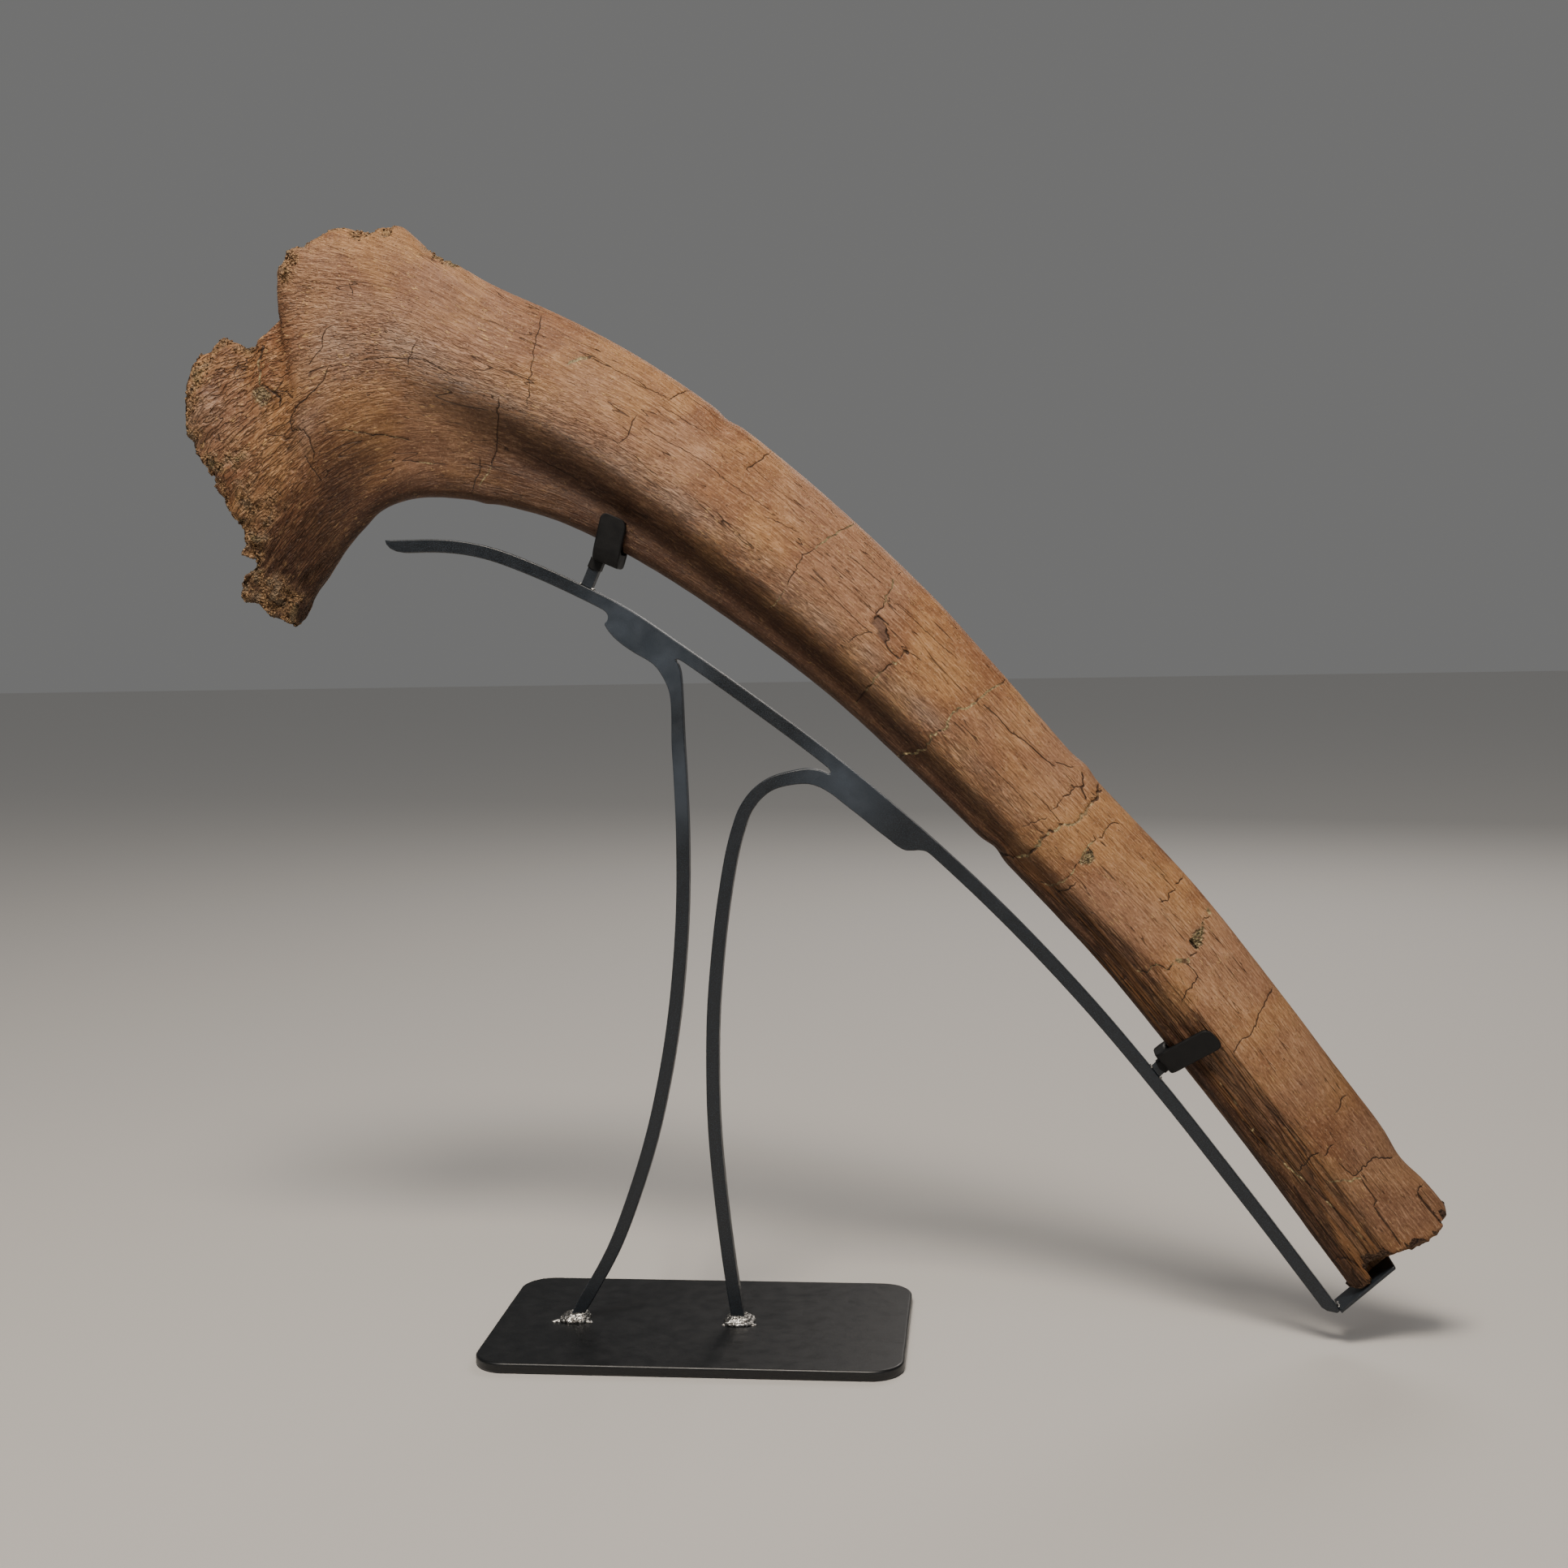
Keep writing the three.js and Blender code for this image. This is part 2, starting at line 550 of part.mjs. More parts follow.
// A weld bead laid round a leg's foot, leaning with the leg
function weldGeometry(legPoints) {
  const [foot, next] = legPoints;
  const lean = (next[0] - foot[0]) / (next[1] - foot[1]);
  const hole = barSize / 2 + seatGap + Math.abs(lean) * 0.8;
  const points = [];
  const faces = [];
  const sections = [[0, 0], [0, 0.92], [0.3, 1], [0.75, 0.5], [1, 0]];
  for (let k = 0; k < weldColumns; k += 1) {
    const angle = (2 * Math.PI * k) / weldColumns;
    const square = hole / Math.max(Math.abs(Math.cos(angle)), Math.abs(Math.sin(angle)));
    const ripple = 1 + 0.16 * Math.sin(angle * 7 + foot[0]) + 0.1 * Math.cos(angle * 3);
    sections.forEach(([out, up]) => {
      const height = weldHeight * up;
      const radius = square + weldReach * out * ripple;
      points.push([
        foot[0] + lean * height + radius * Math.cos(angle),
        radius * Math.sin(angle),
        plateThick + height,
      ]);
    });
  }
  const ring = sections.length;
  for (let k = 0; k < weldColumns; k += 1) {
    for (let i = 0; i < ring; i += 1) {
      const a = k * ring + i;
      const b = k * ring + ((i + 1) % ring);
      const c = ((k + 1) % weldColumns) * ring + i;
      const d = ((k + 1) % weldColumns) * ring + ((i + 1) % ring);
      faces.push([a, b, c], [b, d, c]);
    }
  }
  return closedGeometry(points, faces);
}

function plateGeometry() {
  const halfX = plateLength / 2 - plateCorner;
  const halfY = plateDepth / 2 - plateCorner;
  const shape = new THREE.Shape();
  shape.absarc(halfX, halfY, plateCorner, 0, Math.PI / 2);
  shape.absarc(-halfX, halfY, plateCorner, Math.PI / 2, Math.PI);
  shape.absarc(-halfX, -halfY, plateCorner, Math.PI, 1.5 * Math.PI);
  shape.absarc(halfX, -halfY, plateCorner, 1.5 * Math.PI, 2 * Math.PI);
  const geometry = new THREE.ExtrudeGeometry(shape, {
    depth: plateThick - 2 * plateEdge,
    bevelThickness: plateEdge,
    bevelSize: plateEdge,
    bevelOffset: -plateEdge,
    bevelSegments: 2,
    curveSegments: 6,
  });
  geometry.translate(0, 0, plateEdge);
  return geometry;
}

const material = (finish) => new THREE.MeshStandardMaterial(finish);
const model = new THREE.Group();

function addPiece(name, geometry, finish) {
  const mesh = new THREE.Mesh(geometry, material(finish));
  mesh.name = name;
  model.add(mesh);
  return mesh;
}

addPiece('rib', ribGeometry(), bone);
addPiece('base_plate', plateGeometry(), coatedSteel);
addPiece('spine_bar', spineGeometry(), coatedSteel);
addPiece('left_leg', legGeometry(leftLeg, leftSeam), coatedSteel);
addPiece('right_leg', legGeometry(rightLeg, rightSeam), coatedSteel);
addPiece('left_foot_weld', weldGeometry(leftLeg), bareWeld);
addPiece('right_foot_weld', weldGeometry(rightLeg), bareWeld);
addPiece('upper_stub', stubGeometry(upperCradle), coatedSteel);
addPiece('lower_stub', stubGeometry(lowerCradle), coatedSteel);
addPiece('upper_cradle', cradleGeometry(upperCradle), rubber);
addPiece('lower_cradle', cradleGeometry(lowerCradle), rubber);
addPiece('end_ledge', ledgeGeometry(), coatedSteel);

export default model;
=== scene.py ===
import math
from functools import partial

import bmesh
import bpy
import numpy as np
from mathutils import Matrix, Vector


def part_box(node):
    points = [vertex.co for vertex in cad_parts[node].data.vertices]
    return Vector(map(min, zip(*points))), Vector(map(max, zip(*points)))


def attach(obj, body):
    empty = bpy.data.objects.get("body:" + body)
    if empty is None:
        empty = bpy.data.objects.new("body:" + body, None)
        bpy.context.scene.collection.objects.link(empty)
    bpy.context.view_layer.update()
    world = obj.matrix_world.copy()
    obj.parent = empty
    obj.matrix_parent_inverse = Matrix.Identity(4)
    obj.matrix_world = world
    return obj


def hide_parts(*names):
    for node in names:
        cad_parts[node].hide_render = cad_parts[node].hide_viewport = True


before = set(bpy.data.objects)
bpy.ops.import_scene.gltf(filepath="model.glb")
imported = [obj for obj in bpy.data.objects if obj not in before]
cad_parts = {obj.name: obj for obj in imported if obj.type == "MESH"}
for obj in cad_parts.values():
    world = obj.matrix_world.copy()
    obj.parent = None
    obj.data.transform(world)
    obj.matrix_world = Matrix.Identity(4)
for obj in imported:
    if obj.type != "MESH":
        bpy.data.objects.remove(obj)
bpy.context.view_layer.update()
print("frame loaded:", len(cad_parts), "nodes")

mm = 0.001


# small helpers

def toLinear(hexColour):
    # an sRGB hex colour as linear red, green, blue, alpha
    channels = [int(hexColour[i:i + 2], 16) / 255 for i in (1, 3, 5)]
    return [c / 12.92 if c <= 0.04045 else ((c + 0.055) / 1.055) ** 2.4 for c in channels] + [1]


def addNode(tree, kind, inputs=None, **settings):
    # adds a node with its settings, and sets or links its inputs; a hex colour is turned linear
    node = tree.nodes.new(kind)
    for name, value in settings.items():
        setattr(node, name, value)
    for key, value in (inputs or {}).items():
        if isinstance(value, bpy.types.NodeSocket):
            tree.links.new(value, node.inputs[key])
            continue
        isColour = isinstance(value, str) and value.startswith("#")
        node.inputs[key].default_value = toLinear(value) if isColour else value
    return node


rangeInputs = ("Value", "From Min", "From Max", "To Min", "To Max")
# small nodes that the trees share: Blender's type, the inputs in the order they are given, output, settings
sharedNodes = {
    "place": ("ShaderNodeTexCoord", (), "Object", {}),
    "field": ("ShaderNodeAttribute", (), "Fac", {}),
    "track": ("ShaderNodeAttribute", (), "Vector", {}),
    "storedField": ("GeometryNodeInputNamedAttribute", ("Name",), 0, {"data_type": "FLOAT"}),
    "noise": ("ShaderNodeTexNoise", ("Vector", "Scale", "Detail", "Roughness"), "Fac", {}),
    "cells": ("ShaderNodeTexVoronoi", ("Vector", "Scale"), "Distance", {"feature": "F1"}),
    "fade": ("ShaderNodeMapRange", rangeInputs, "Result", {}),
    "softFade": ("ShaderNodeMapRange", rangeInputs, "Result", {"interpolation_type": "SMOOTHSTEP"}),
    "mix": ("ShaderNodeMix", (0, 6, 7), 2, {"data_type": "RGBA"}),
    "tint": ("ShaderNodeMix", (0, 6, 7), 2, {"data_type": "RGBA", "blend_type": "MULTIPLY"}),
    "mixValue": ("ShaderNodeMix", (0, 2, 3), 0, {"data_type": "FLOAT"}),
    "move": ("ShaderNodeVectorMath", (0, 1), 0, {"operation": "ADD"}),
    "stretch": ("ShaderNodeVectorMath", (0, 1), 0, {"operation": "MULTIPLY"}),
    "distance": ("ShaderNodeVectorMath", (0, 1), "Value", {"operation": "DISTANCE"}),
    "add": ("ShaderNodeMath", (0, 1), 0, {"operation": "ADD"}),
    "subtract": ("ShaderNodeMath", (0, 1), 0, {"operation": "SUBTRACT"}),
    "multiply": ("ShaderNodeMath", (0, 1), 0, {"operation": "MULTIPLY"}),
    "larger": ("ShaderNodeMath", (0, 1), 0, {"operation": "MAXIMUM"}),
    "unsigned": ("ShaderNodeMath", (0,), 0, {"operation": "ABSOLUTE"}),
    "bump": ("ShaderNodeBump", ("Height", "Strength", "Distance"), "Normal", {}),
}


def wire(tree, name, *values, **settings):
    # adds a shared node and gives its output; values past its inputs go into more nodes of the same kind
    kind, keys, output, fixed = sharedNodes[name]
    result = addNode(tree, kind, dict(zip(keys, values)), **fixed, **settings).outputs[output]
    more = values[len(keys):]
    return wire(tree, name, result, *more) if more else result


def newMaterial(name):
    # an empty material, and what adds shared nodes to its tree
    material = bpy.data.materials.new(name)
    material.use_nodes = True
    material.node_tree.nodes.clear()
    return material, partial(wire, material.node_tree)


def finishMaterial(material, surface):
    # ends the tree with the shader, whose own sockets take the links and values
    shader = addNode(material.node_tree, "ShaderNodeBsdfPrincipled", surface)
    addNode(material.node_tree, "ShaderNodeOutputMaterial", {"Surface": shader.outputs[0]})
    return material


def newTree(name, *numbers):
    # an empty Geometry Nodes tree, and the identifiers of its number inputs
    tree = bpy.data.node_groups.new(name, "GeometryNodeTree")
    tree.interface.new_socket(name="Geometry", in_out="INPUT", socket_type="NodeSocketGeometry")
    keys = {}
    for number in numbers:
        kind = "NodeSocketInt" if number == "Seed" else "NodeSocketFloat"
        keys[number] = tree.interface.new_socket(name=number, in_out="INPUT", socket_type=kind).identifier
    tree.interface.new_socket(name="Geometry", in_out="OUTPUT", socket_type="NodeSocketGeometry")
    return tree, keys


def runTree(thing, tree, keys, values):
    # adds the tree as a modifier, sets its inputs by identifier, and leaves its result as plain mesh
    modifier = thing.modifiers.new(tree.name, "NODES")
    modifier.node_group = tree
    for name, value in values.items():
        modifier[keys[name]] = value
    return applyModifiers(thing)


def applyModifiers(thing):
    # turns the evaluated object into a plain mesh and removes its modifiers
    graph = bpy.context.evaluated_depsgraph_get()
    shaped = thing.evaluated_get(graph)
    mesh = bpy.data.meshes.new_from_object(shaped, preserve_all_data_layers=True, depsgraph=graph)
    thing.modifiers.clear()
    thing.data = mesh
    return thing


def newObject(name, data):
    thing = bpy.data.objects.new(name, data)
    bpy.context.scene.collection.objects.link(thing)
    return thing


def newMesh(name, points, faces):
    mesh = bpy.data.meshes.new(name)
    mesh.from_pydata([tuple(p) for p in points], [], [tuple(f) for f in faces])
    mesh.validate()
    return mesh


def finishPiece(thing, slot, *nodes):
    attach(thing, "root")
    if nodes:
        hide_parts(*nodes)


def mix(a, b, part):
    return a + (b - a) * part


def ease(part):
    p = np.clip(part, 0, 1)
    return p * p * (3 - 2 * p)


def hermite(a, b, slopeA, slopeB, part):
    bend = 2 * (a - b) + slopeA + slopeB
    return a + part * (slopeA + part * (3 * (b - a) - 2 * slopeA - slopeB + part * bend))


def scatterValue(a, b):
    # an even scatter of values from 0 to 1, the same for the same a and b
    wave = np.sin(a * 127.1 + b * 311.7) * 43758.5453
    return wave - np.floor(wave)


def lumps(a, b):
    # smooth lumps between -1 and 1, one unit across
    i, j = np.floor(a), np.floor(b)
    u, v = ease(a - i), ease(b - j)
    near = mix(scatterValue(i, j), scatterValue(i + 1, j), u)
    far = mix(scatterValue(i, j + 1), scatterValue(i + 1, j + 1), u)
    return 2 * mix(near, far, v) - 1


# the rib: one closed surface laid over stations from its head to its tip, in millimetres

rib = {
    "lowRim": 6, "highRim": 12,  # how far each edge is rounded
    "thickRim": (6, 44, 14),  # the saddle's edge stays thicker: by how much, where along and half how far
    "headTaper": 16, "headReach": 60, "headBow": 14, "bowLength": 240, "tipReach": 16,
    "headRoughness": 1.6, "shaftRoughness": 0.35, "lumpSize": 11,
    "headStep": 1.7, "shaftStep": 2.1, "denseLength": 190,  # row spacing
    "frontColumns": 84, "backColumns": 26, "capRows": 9,
    "fibreRelief": 0.2, "wrinkleRelief": 0.55, "ridgeRelief": 0.75, "crumbRelief": 1.7, "leatherRelief": 1.9,
    "spongeDepth": 3, "hollowDepth": 14, "meanWidth": 90,
    "splitWidth": 0.16, "splitDepth": 0.25, "crackLip": 0.3, "markStep": 0.6, "stairLength": 2.4,
    "calmRounds": 90, "calmShare": 0.6, "saddleRounds": 160, "saddleShare": 0.7,
    "saddle": (-243, 592, 24, 34),  # x, z, half width and half height
    "headInward": (0.97, 0.25), "tipInward": (-0.665, 0.747),  # which way each broken face sinks
    "refine": ((2.2, 1.2), (1.2, 0.75)),  # how near a crack the mesh is split, and to what edge length
}

# each row: low edge x, z, high edge x, z, crest place and depth, groove place and depth,
# front depth at the low and high edge, back depth low, middle and high
ribStations = np.array([
    [-245, 440, -301, 604, 0.60, 13, 0.25, 11, 8, 11, 8, 12, 10],
    [-234, 454, -274, 611, 0.60, 15, 0.26, 12, 8, 11, 8, 13, 10],
    [-224, 466, -248, 618, 0.60, 17, 0.27, 13, 8, 12, 8, 13, 11],
    [-216, 476, -244, 648, 0.59, 20, 0.28, 15, 8, 15, 8, 14, 14],
    [-208, 486, -233, 666, 0.58, 22, 0.28, 17, 8, 16, 8, 14, 15],
    [-198, 496, -204, 675, 0.57, 23, 0.28, 18, 7, 15, 8, 14, 15],
    [-185, 507, -168, 672, 0.56, 25, 0.30, 17, 7, 14, 8, 15, 14],
    [-164, 513, -140, 652, 0.55, 26, 0.34, 14, 7, 13, 8, 15, 13],
    [-137, 512, -107, 635, 0.53, 26, 0.33, 11, 7, 12, 8, 16, 12],
    [-105, 506, -63, 614, 0.48, 26, 0.28, 8, 7, 12, 8, 16, 11],
    [-67, 493, -18, 588, 0.43, 25, 0.23, 6, 7, 11, 8, 16, 10],
    [-18, 466, 35, 550, 0.38, 24, 0.19, 6, 6, 11, 8, 16, 10],
    [33, 431, 87, 506, 0.345, 23, 0.15, 6, 6, 10, 8, 15, 10],
    [83, 392, 143, 452, 0.315, 21, 0.13, 6, 6, 10, 8, 15, 9],
    [124, 354, 182, 408, 0.295, 19, 0.11, 7, 6, 10, 8, 14, 9],
    [182, 296, 235, 346, 0.28, 17, 0.10, 8, 8, 10, 8, 13, 9],
    [240, 233, 297, 278, 0.29, 15, 0.10, 8, 8, 9, 8, 12, 8],
    [285, 177, 343, 219, 0.37, 14, 0.12, 8, 8, 9, 8, 12, 8],
    [337, 108, 394, 150, 0.45, 14, 0.16, 8, 8, 9, 8, 11, 8],
    [389, 36, 444, 85, 0.48, 14, 0.18, 8, 8, 9, 8, 11, 8],
])

# the head's broken edge: place across, x, z
headEdge = np.array([
    [0, -245, 440], [0.05, -254, 443], [0.1, -266, 449], [0.14, -279, 455], [0.18, -280, 465],
    [0.22, -268, 474], [0.27, -277, 482], [0.34, -275, 495], [0.43, -284, 511], [0.58, -298, 535],
    [0.74, -309, 561], [0.86, -307, 579], [0.94, -304, 594], [1, -301, 604],
])
# the tip's broken edge: place across, how far the front and the back reach out
tipEdge = np.array([
    [0, 0, 0], [0.05, 3, 2.6], [0.12, 3.7, 4.8], [0.18, 2.6, 6.2], [0.19, -3, 6.2], [0.24, -5.6, 6.2],
    [0.33, -5.4, 6.2], [0.34, -4.2, 6.2], [0.4, -3.6, 6.2], [0.41, -2.2, 6], [0.47, -1.8, 5.8], [0.53, 0, 5.4],
    [0.56, 0.4, 6.6], [0.57, 2.4, 8], [0.62, 2.6, 9.4], [0.64, 4, 9.4], [0.66, 3.8, 7], [0.72, 5.4, 7.4],
    [0.735, 4.6, 7], [0.8, 5.8, 6], [0.88, 4.6, 4], [0.9, 2.6, 3], [0.96, 2.4, 1], [1, -1, -1],
])
# knobs and nicks on the edges: distance, height, half width
highBumps = [
    (14, 5.3, 4.5), (26, -4, 3.5), (41, 4.5, 6), (88, -2, 7), (97, 1.5, 4), (112, -3, 6), (126, 2.4, 5.5),
    (142, -1, 5), (161, 1.5, 10), (322, -1.5, 6), (605, 1.5, 7), (898, -3, 16),
]
lowBumps = [(8, 3.5, 10), (205, 1, 7), (603, -2, 7)]
# swellings of the head's front: distance, place across, height, half length, half width
headSwells = [(6, 0.8, 4, 9, 0.3), (30, 0.86, -5, 7, 0.16), (44, 0.8, 2, 8, 0.12), (82, 0.9, 5, 16, 0.12)]
# forms of the broken head, laid on once its depth is even: the two lobes, the furrow and the rolled edges
headLobes = [
    (9, 0.8, 3.4, 9, 0.15), (25, 0.9, -3, 5, 0.15), (38, 0.82, 2.2, 8, 0.1), (12, 0.52, 1.6, 10, 0.1),
    (22, 0.62, -1.4, 8, 0.07), (70, 0.93, 2.2, 14, 0.06), (84, 0.8, -1.6, 10, 0.08), (24, 0.3, -1.6, 12, 0.12),
]
# where the head turns away from the light: x, z, half width, half height and how dark
headShades = [
    (-239, 629, 9, 17, 0.5), (-273, 597, 5, 13, 0.4), (-236, 560, 10, 16, 0.15), (-268, 515, 16, 20, 0.25),
]

# cracks: half width and depth in millimetres, share filled with silt, and the (distance, place across) points
cracks = [
    (0.7, 1.2, 0.1, [(34, 0.953), (35, 0.936), (33, 0.9), (34, 0.807), (38, 0.757), (42, 0.714), (41, 0.687)]),
    (0.3, 0.4, 0, [(40, 0.757), (48, 0.691), (56, 0.608)]),
    (0.25, 0.3, 0, [(98, 0.668), (96, 0.668), (92, 0.651), (91, 0.611), (86, 0.598), (81, 0.588)]),
    (0.38, 0.5, 0, [(94, 0.545), (89, 0.512), (82, 0.502), (74, 0.508), (60, 0.551), (51, 0.588), (46, 0.588),
                    (48, 0.548), (63, 0.455), (67, 0.409), (70, 0.356), (66, 0.336)]),
    (0.3, 0.4, 0, [(54, 0.415), (63, 0.323), (70, 0.25)]),
    (0.3, 0.4, 0, [(114, 0.528), (126, 0.525), (139, 0.541), (154, 0.571), (172, 0.541)]),
    (0.25, 0.3, 0, [(148, 0.631), (146, 0.585), (144, 0.522)]),
    (0.32, 0.4, 0.1, [(83, 0.359), (104, 0.313), (122, 0.266), (146, 0.24)]),
    (0.3, 0.3, 0.3, [(146, 0.157), (161, 0.147), (172, 0.15)]),
    (0.3, 0.4, 0, [(194, 0.21), (196, 0.15), (194, 0.034)]),
    (0.25, 0.3, 0, [(108, 0.794), (110, 0.75)]),
    (0.25, 0.3, 0, [(42, 0.561), (33, 0.605)]),
    (0.3, 0.4, 0, [(29, 0.963), (26, 0.956), (24, 0.92), (22, 0.863)]),
    (0.25, 0.3, 0, [(25, 0.422), (30, 0.369)]),
    (0.35, 0.5, 0, [(202, 0.506), (203, 0.4), (204, 0.176)]),
    (0.3, 0.3, 0.6, [(204, 0.176), (199, 0.069)]),
    (0.22, 0.3, 0.2, [(209, 0.958), (214, 0.72), (220, 0.513)]),
    (0.9, 0.1, 0.9, [(232, 0.784), (236, 0.823), (239, 0.853), (242, 0.877)]),
    (0.3, 0.4, 0, [(296, 0.993), (294, 0.966), (293, 0.93), (290, 0.883)]),
    (0.28, 0.3, 0, [(279, 0.717), (278, 0.674), (279, 0.624), (280, 0.585), (278, 0.538)]),
    (0.3, 0.4, 0, [(353, 0.986), (352, 0.93), (350, 0.86), (348, 0.817)]),
    (0.38, 0.4, 0.75, [(414, 0.989), (413, 0.93), (410, 0.86), (408, 0.82), (408, 0.764), (406, 0.704)]),
    (0.28, 0.3, 0.1, [(406, 0.704), (404, 0.651), (402, 0.621), (404, 0.568), (404, 0.508), (406, 0.415)]),
    (0.25, 0.3, 0.1, [(406, 0.376), (406, 0.296), (404, 0.216)]),
    (0.32, 0.4, 0, [(450, 0.963), (450, 0.94)]),
    (0.42, 0.6, 0.1, [(451, 0.896), (450, 0.896), (452, 0.843), (452, 0.82), (453, 0.774), (455, 0.77),
                      (456, 0.744), (456, 0.687), (456, 0.644)]),
    # the next two cracks run along the first chip's upper and right edges: partly cracks, and partly painted
    # shadow along its deep edge
    (0.4, 0.7, 0, [(457, 0.651), (460, 0.648), (466, 0.651)]),
    (0.5, 0.9, 0, [(465, 0.631), (468, 0.601), (470, 0.598), (472, 0.551), (474, 0.535), (479, 0.528),
                   (484, 0.538)]),
    (0.3, 0.4, 0, [(484, 0.538), (483, 0.571), (483, 0.605)]),
    (1.0, 1.6, 0, [(481, 0.597), (483, 0.606), (485, 0.614)]),
    (0.28, 0.4, 0, [(484, 0.611), (488, 0.624), (493, 0.634)]),
    (0.6, 0.2, 0.9, [(481, 0.485), (483, 0.488), (484, 0.508)]),
    (0.42, 0.6, 0.15, [(482, 0.482), (482, 0.449), (482, 0.366), (482, 0.273), (483, 0.19), (484, 0.09)]),
    (0.22, 0.2, 0, [(455, 0.372), (458, 0.488), (462, 0.545)]),
    (0.5, 0.4, 0.95, [(524, 0.004), (532, 0.176), (529, 0.318), (531, 0.441), (528, 0.567), (533, 0.705),
                      (532, 0.827), (535, 0.985)]),
    (0.34, 0.5, 0, [(536, 0.743), (547, 0.762), (559, 0.755), (568, 0.789), (583, 0.81), (592, 0.833)]),
    (0.32, 0.4, 0, [(590, 0.857), (594, 0.887), (598, 0.913), (600, 0.933)]),
    (0.75, 1.3, 0.4, [(615, 0.1), (618, 0.173), (618, 0.263), (618, 0.382), (618, 0.482), (619, 0.538),
                      (622, 0.585), (623, 0.661), (623, 0.707), (622, 0.721), (623, 0.754), (623, 0.847),
                      (622, 0.87), (622, 0.916), (619, 0.95), (621, 0.983)]),
    (0.6, 1.1, 0, [(607, 0.004), (611, 0.05), (615, 0.1)]),
    (0.55, 1.1, 0, [(619, 0.95), (617, 0.996)]),
    (0.35, 0.5, 0, [(617, 0.903), (621, 0.913)]),
    (0.5, 0.8, 0, [(605, 0.943), (608, 0.926), (610, 0.91), (611, 0.893), (611, 0.87), (614, 0.86),
                   (617, 0.84), (619, 0.833)]),
    (0.35, 0.5, 0, [(611, 0.893), (610, 0.857), (609, 0.83), (607, 0.827), (605, 0.827)]),
    (0.4, 0.6, 0, [(609, 0.83), (609, 0.787), (608, 0.711)]),
    (0.22, 0.3, 0, [(608, 0.711), (609, 0.641), (609, 0.585)]),
    (0.3, 0.4, 0.1, [(642, 0.9), (639, 0.863), (638, 0.83), (638, 0.797), (639, 0.747), (640, 0.711),
                     (639, 0.687)]),
    (0.4, 0.5, 0.45, [(636, 0.681), (638, 0.668), (638, 0.585), (642, 0.482), (642, 0.435)]),
    (0.36, 0.5, 0.1, [(642, 0.435), (644, 0.369), (644, 0.233), (643, 0.17), (641, 0.133), (636, 0.1)]),
    (0.42, 0.6, 0, [(641, 0.687), (646, 0.691)]),
    (0.35, 0.5, 0, [(638, 0.581), (644, 0.578)]),
    (0.35, 0.5, 0, [(650, 0.326), (650, 0.269), (649, 0.19), (648, 0.133)]),
    (0.22, 0.2, 0, [(604, 0.306), (606, 0.389), (610, 0.515)]),
    (0.36, 0.5, 0, [(688, 0.979), (688, 0.933), (688, 0.887)]),
    (0.3, 0.4, 0, [(690, 0.867), (690, 0.794), (692, 0.757), (691, 0.724), (690, 0.7)]),
    (0.9, 0.4, 0.5, [(711, 0.965), (714, 0.94)]),
    (0.35, 0.4, 0, [(714, 0.873), (714, 0.895), (715, 0.926)]),
    (0.8, 1.5, 0, [(718, 0.687), (722, 0.687), (725, 0.691)]),
    (0.42, 0.6, 0, [(726, 0.674), (726, 0.634), (726, 0.598)]),
    (0.35, 0.4, 0.5, [(726, 0.588), (727, 0.545)]),
    (1.3, 0.1, 0.7, [(723, 0.488), (724, 0.522), (726, 0.561), (726, 0.591)]),
    (0.4, 0.6, 0.1, [(723, 0.488), (723, 0.449), (724, 0.409), (723, 0.389), (721, 0.382), (718, 0.356),
                     (717, 0.323), (718, 0.286), (718, 0.253), (716, 0.226), (714, 0.2)]),
    (0.3, 0.4, 0, [(727, 0.545), (730, 0.555), (734, 0.561), (738, 0.555), (739, 0.505), (741, 0.432),
                   (742, 0.386), (745, 0.319)]),
    (0.45, 0.6, 0, [(714, 0.04), (714, 0.11)]),
    (0.32, 0.4, 0, [(787, 0.4), (783, 0.479), (784, 0.6), (777, 0.759), (774, 0.854), (770, 0.97)]),
    (0.32, 0.4, 0, [(846, 0.93), (846, 0.873), (849, 0.8), (850, 0.764)]),
    (0.42, 0.6, 0, [(864, 0.595), (865, 0.538), (866, 0.472)]),
    (0.42, 0.6, 0, [(863, 0.465), (863, 0.389), (863, 0.339), (865, 0.269), (866, 0.223)]),
    (0.36, 0.5, 0, [(893, 0.95), (890, 0.877), (886, 0.81), (885, 0.734), (886, 0.654), (886, 0.565)]),
    (0.3, 0.4, 0, [(874, 0.535), (879, 0.545), (886, 0.565)]),
    (0.4, 0.2, 0.85, [(881, 0.376), (883, 0.432), (887, 0.528), (887, 0.565), (890, 0.605)]),
    (0.38, 0.6, 0, [(890, 0.605), (894, 0.598), (902, 0.595), (906, 0.591), (907, 0.548)]),
    (0.48, 0.9, 0, [(907, 0.548), (914, 0.541), (924, 0.541), (930, 0.535), (936, 0.528)]),
    (0.45, 0.8, 0, [(918, 0.97), (918, 0.9)]),
    (0.75, 1.6, 0, [(918, 0.9), (924, 0.887), (930, 0.887), (939, 0.89)]),
    (0.45, 0.7, 0, [(920, 0.024), (921, 0.1), (926, 0.137), (931, 0.157)]),
    (0.6, 1.0, 0, [(928, 0.107), (932, 0.087), (938, 0.084)]),
    (0.5, 0.8, 0, [(872, 0.127), (882, 0.11), (894, 0.113), (905, 0.11), (916, 0.113)]),
    (0.4, 0.5, 0.3, [(823, 0.12), (837, 0.14), (850, 0.167), (861, 0.177), (874, 0.226), (890, 0.266),
                     (906, 0.299), (922, 0.329)]),
    (0.35, 0.5, 0.1, [(822, 0.342), (835, 0.366), (847, 0.372), (860, 0.376)]),
    (0.35, 0.5, 0.4, [(798, 0.157), (807, 0.163), (816, 0.153)]),
]
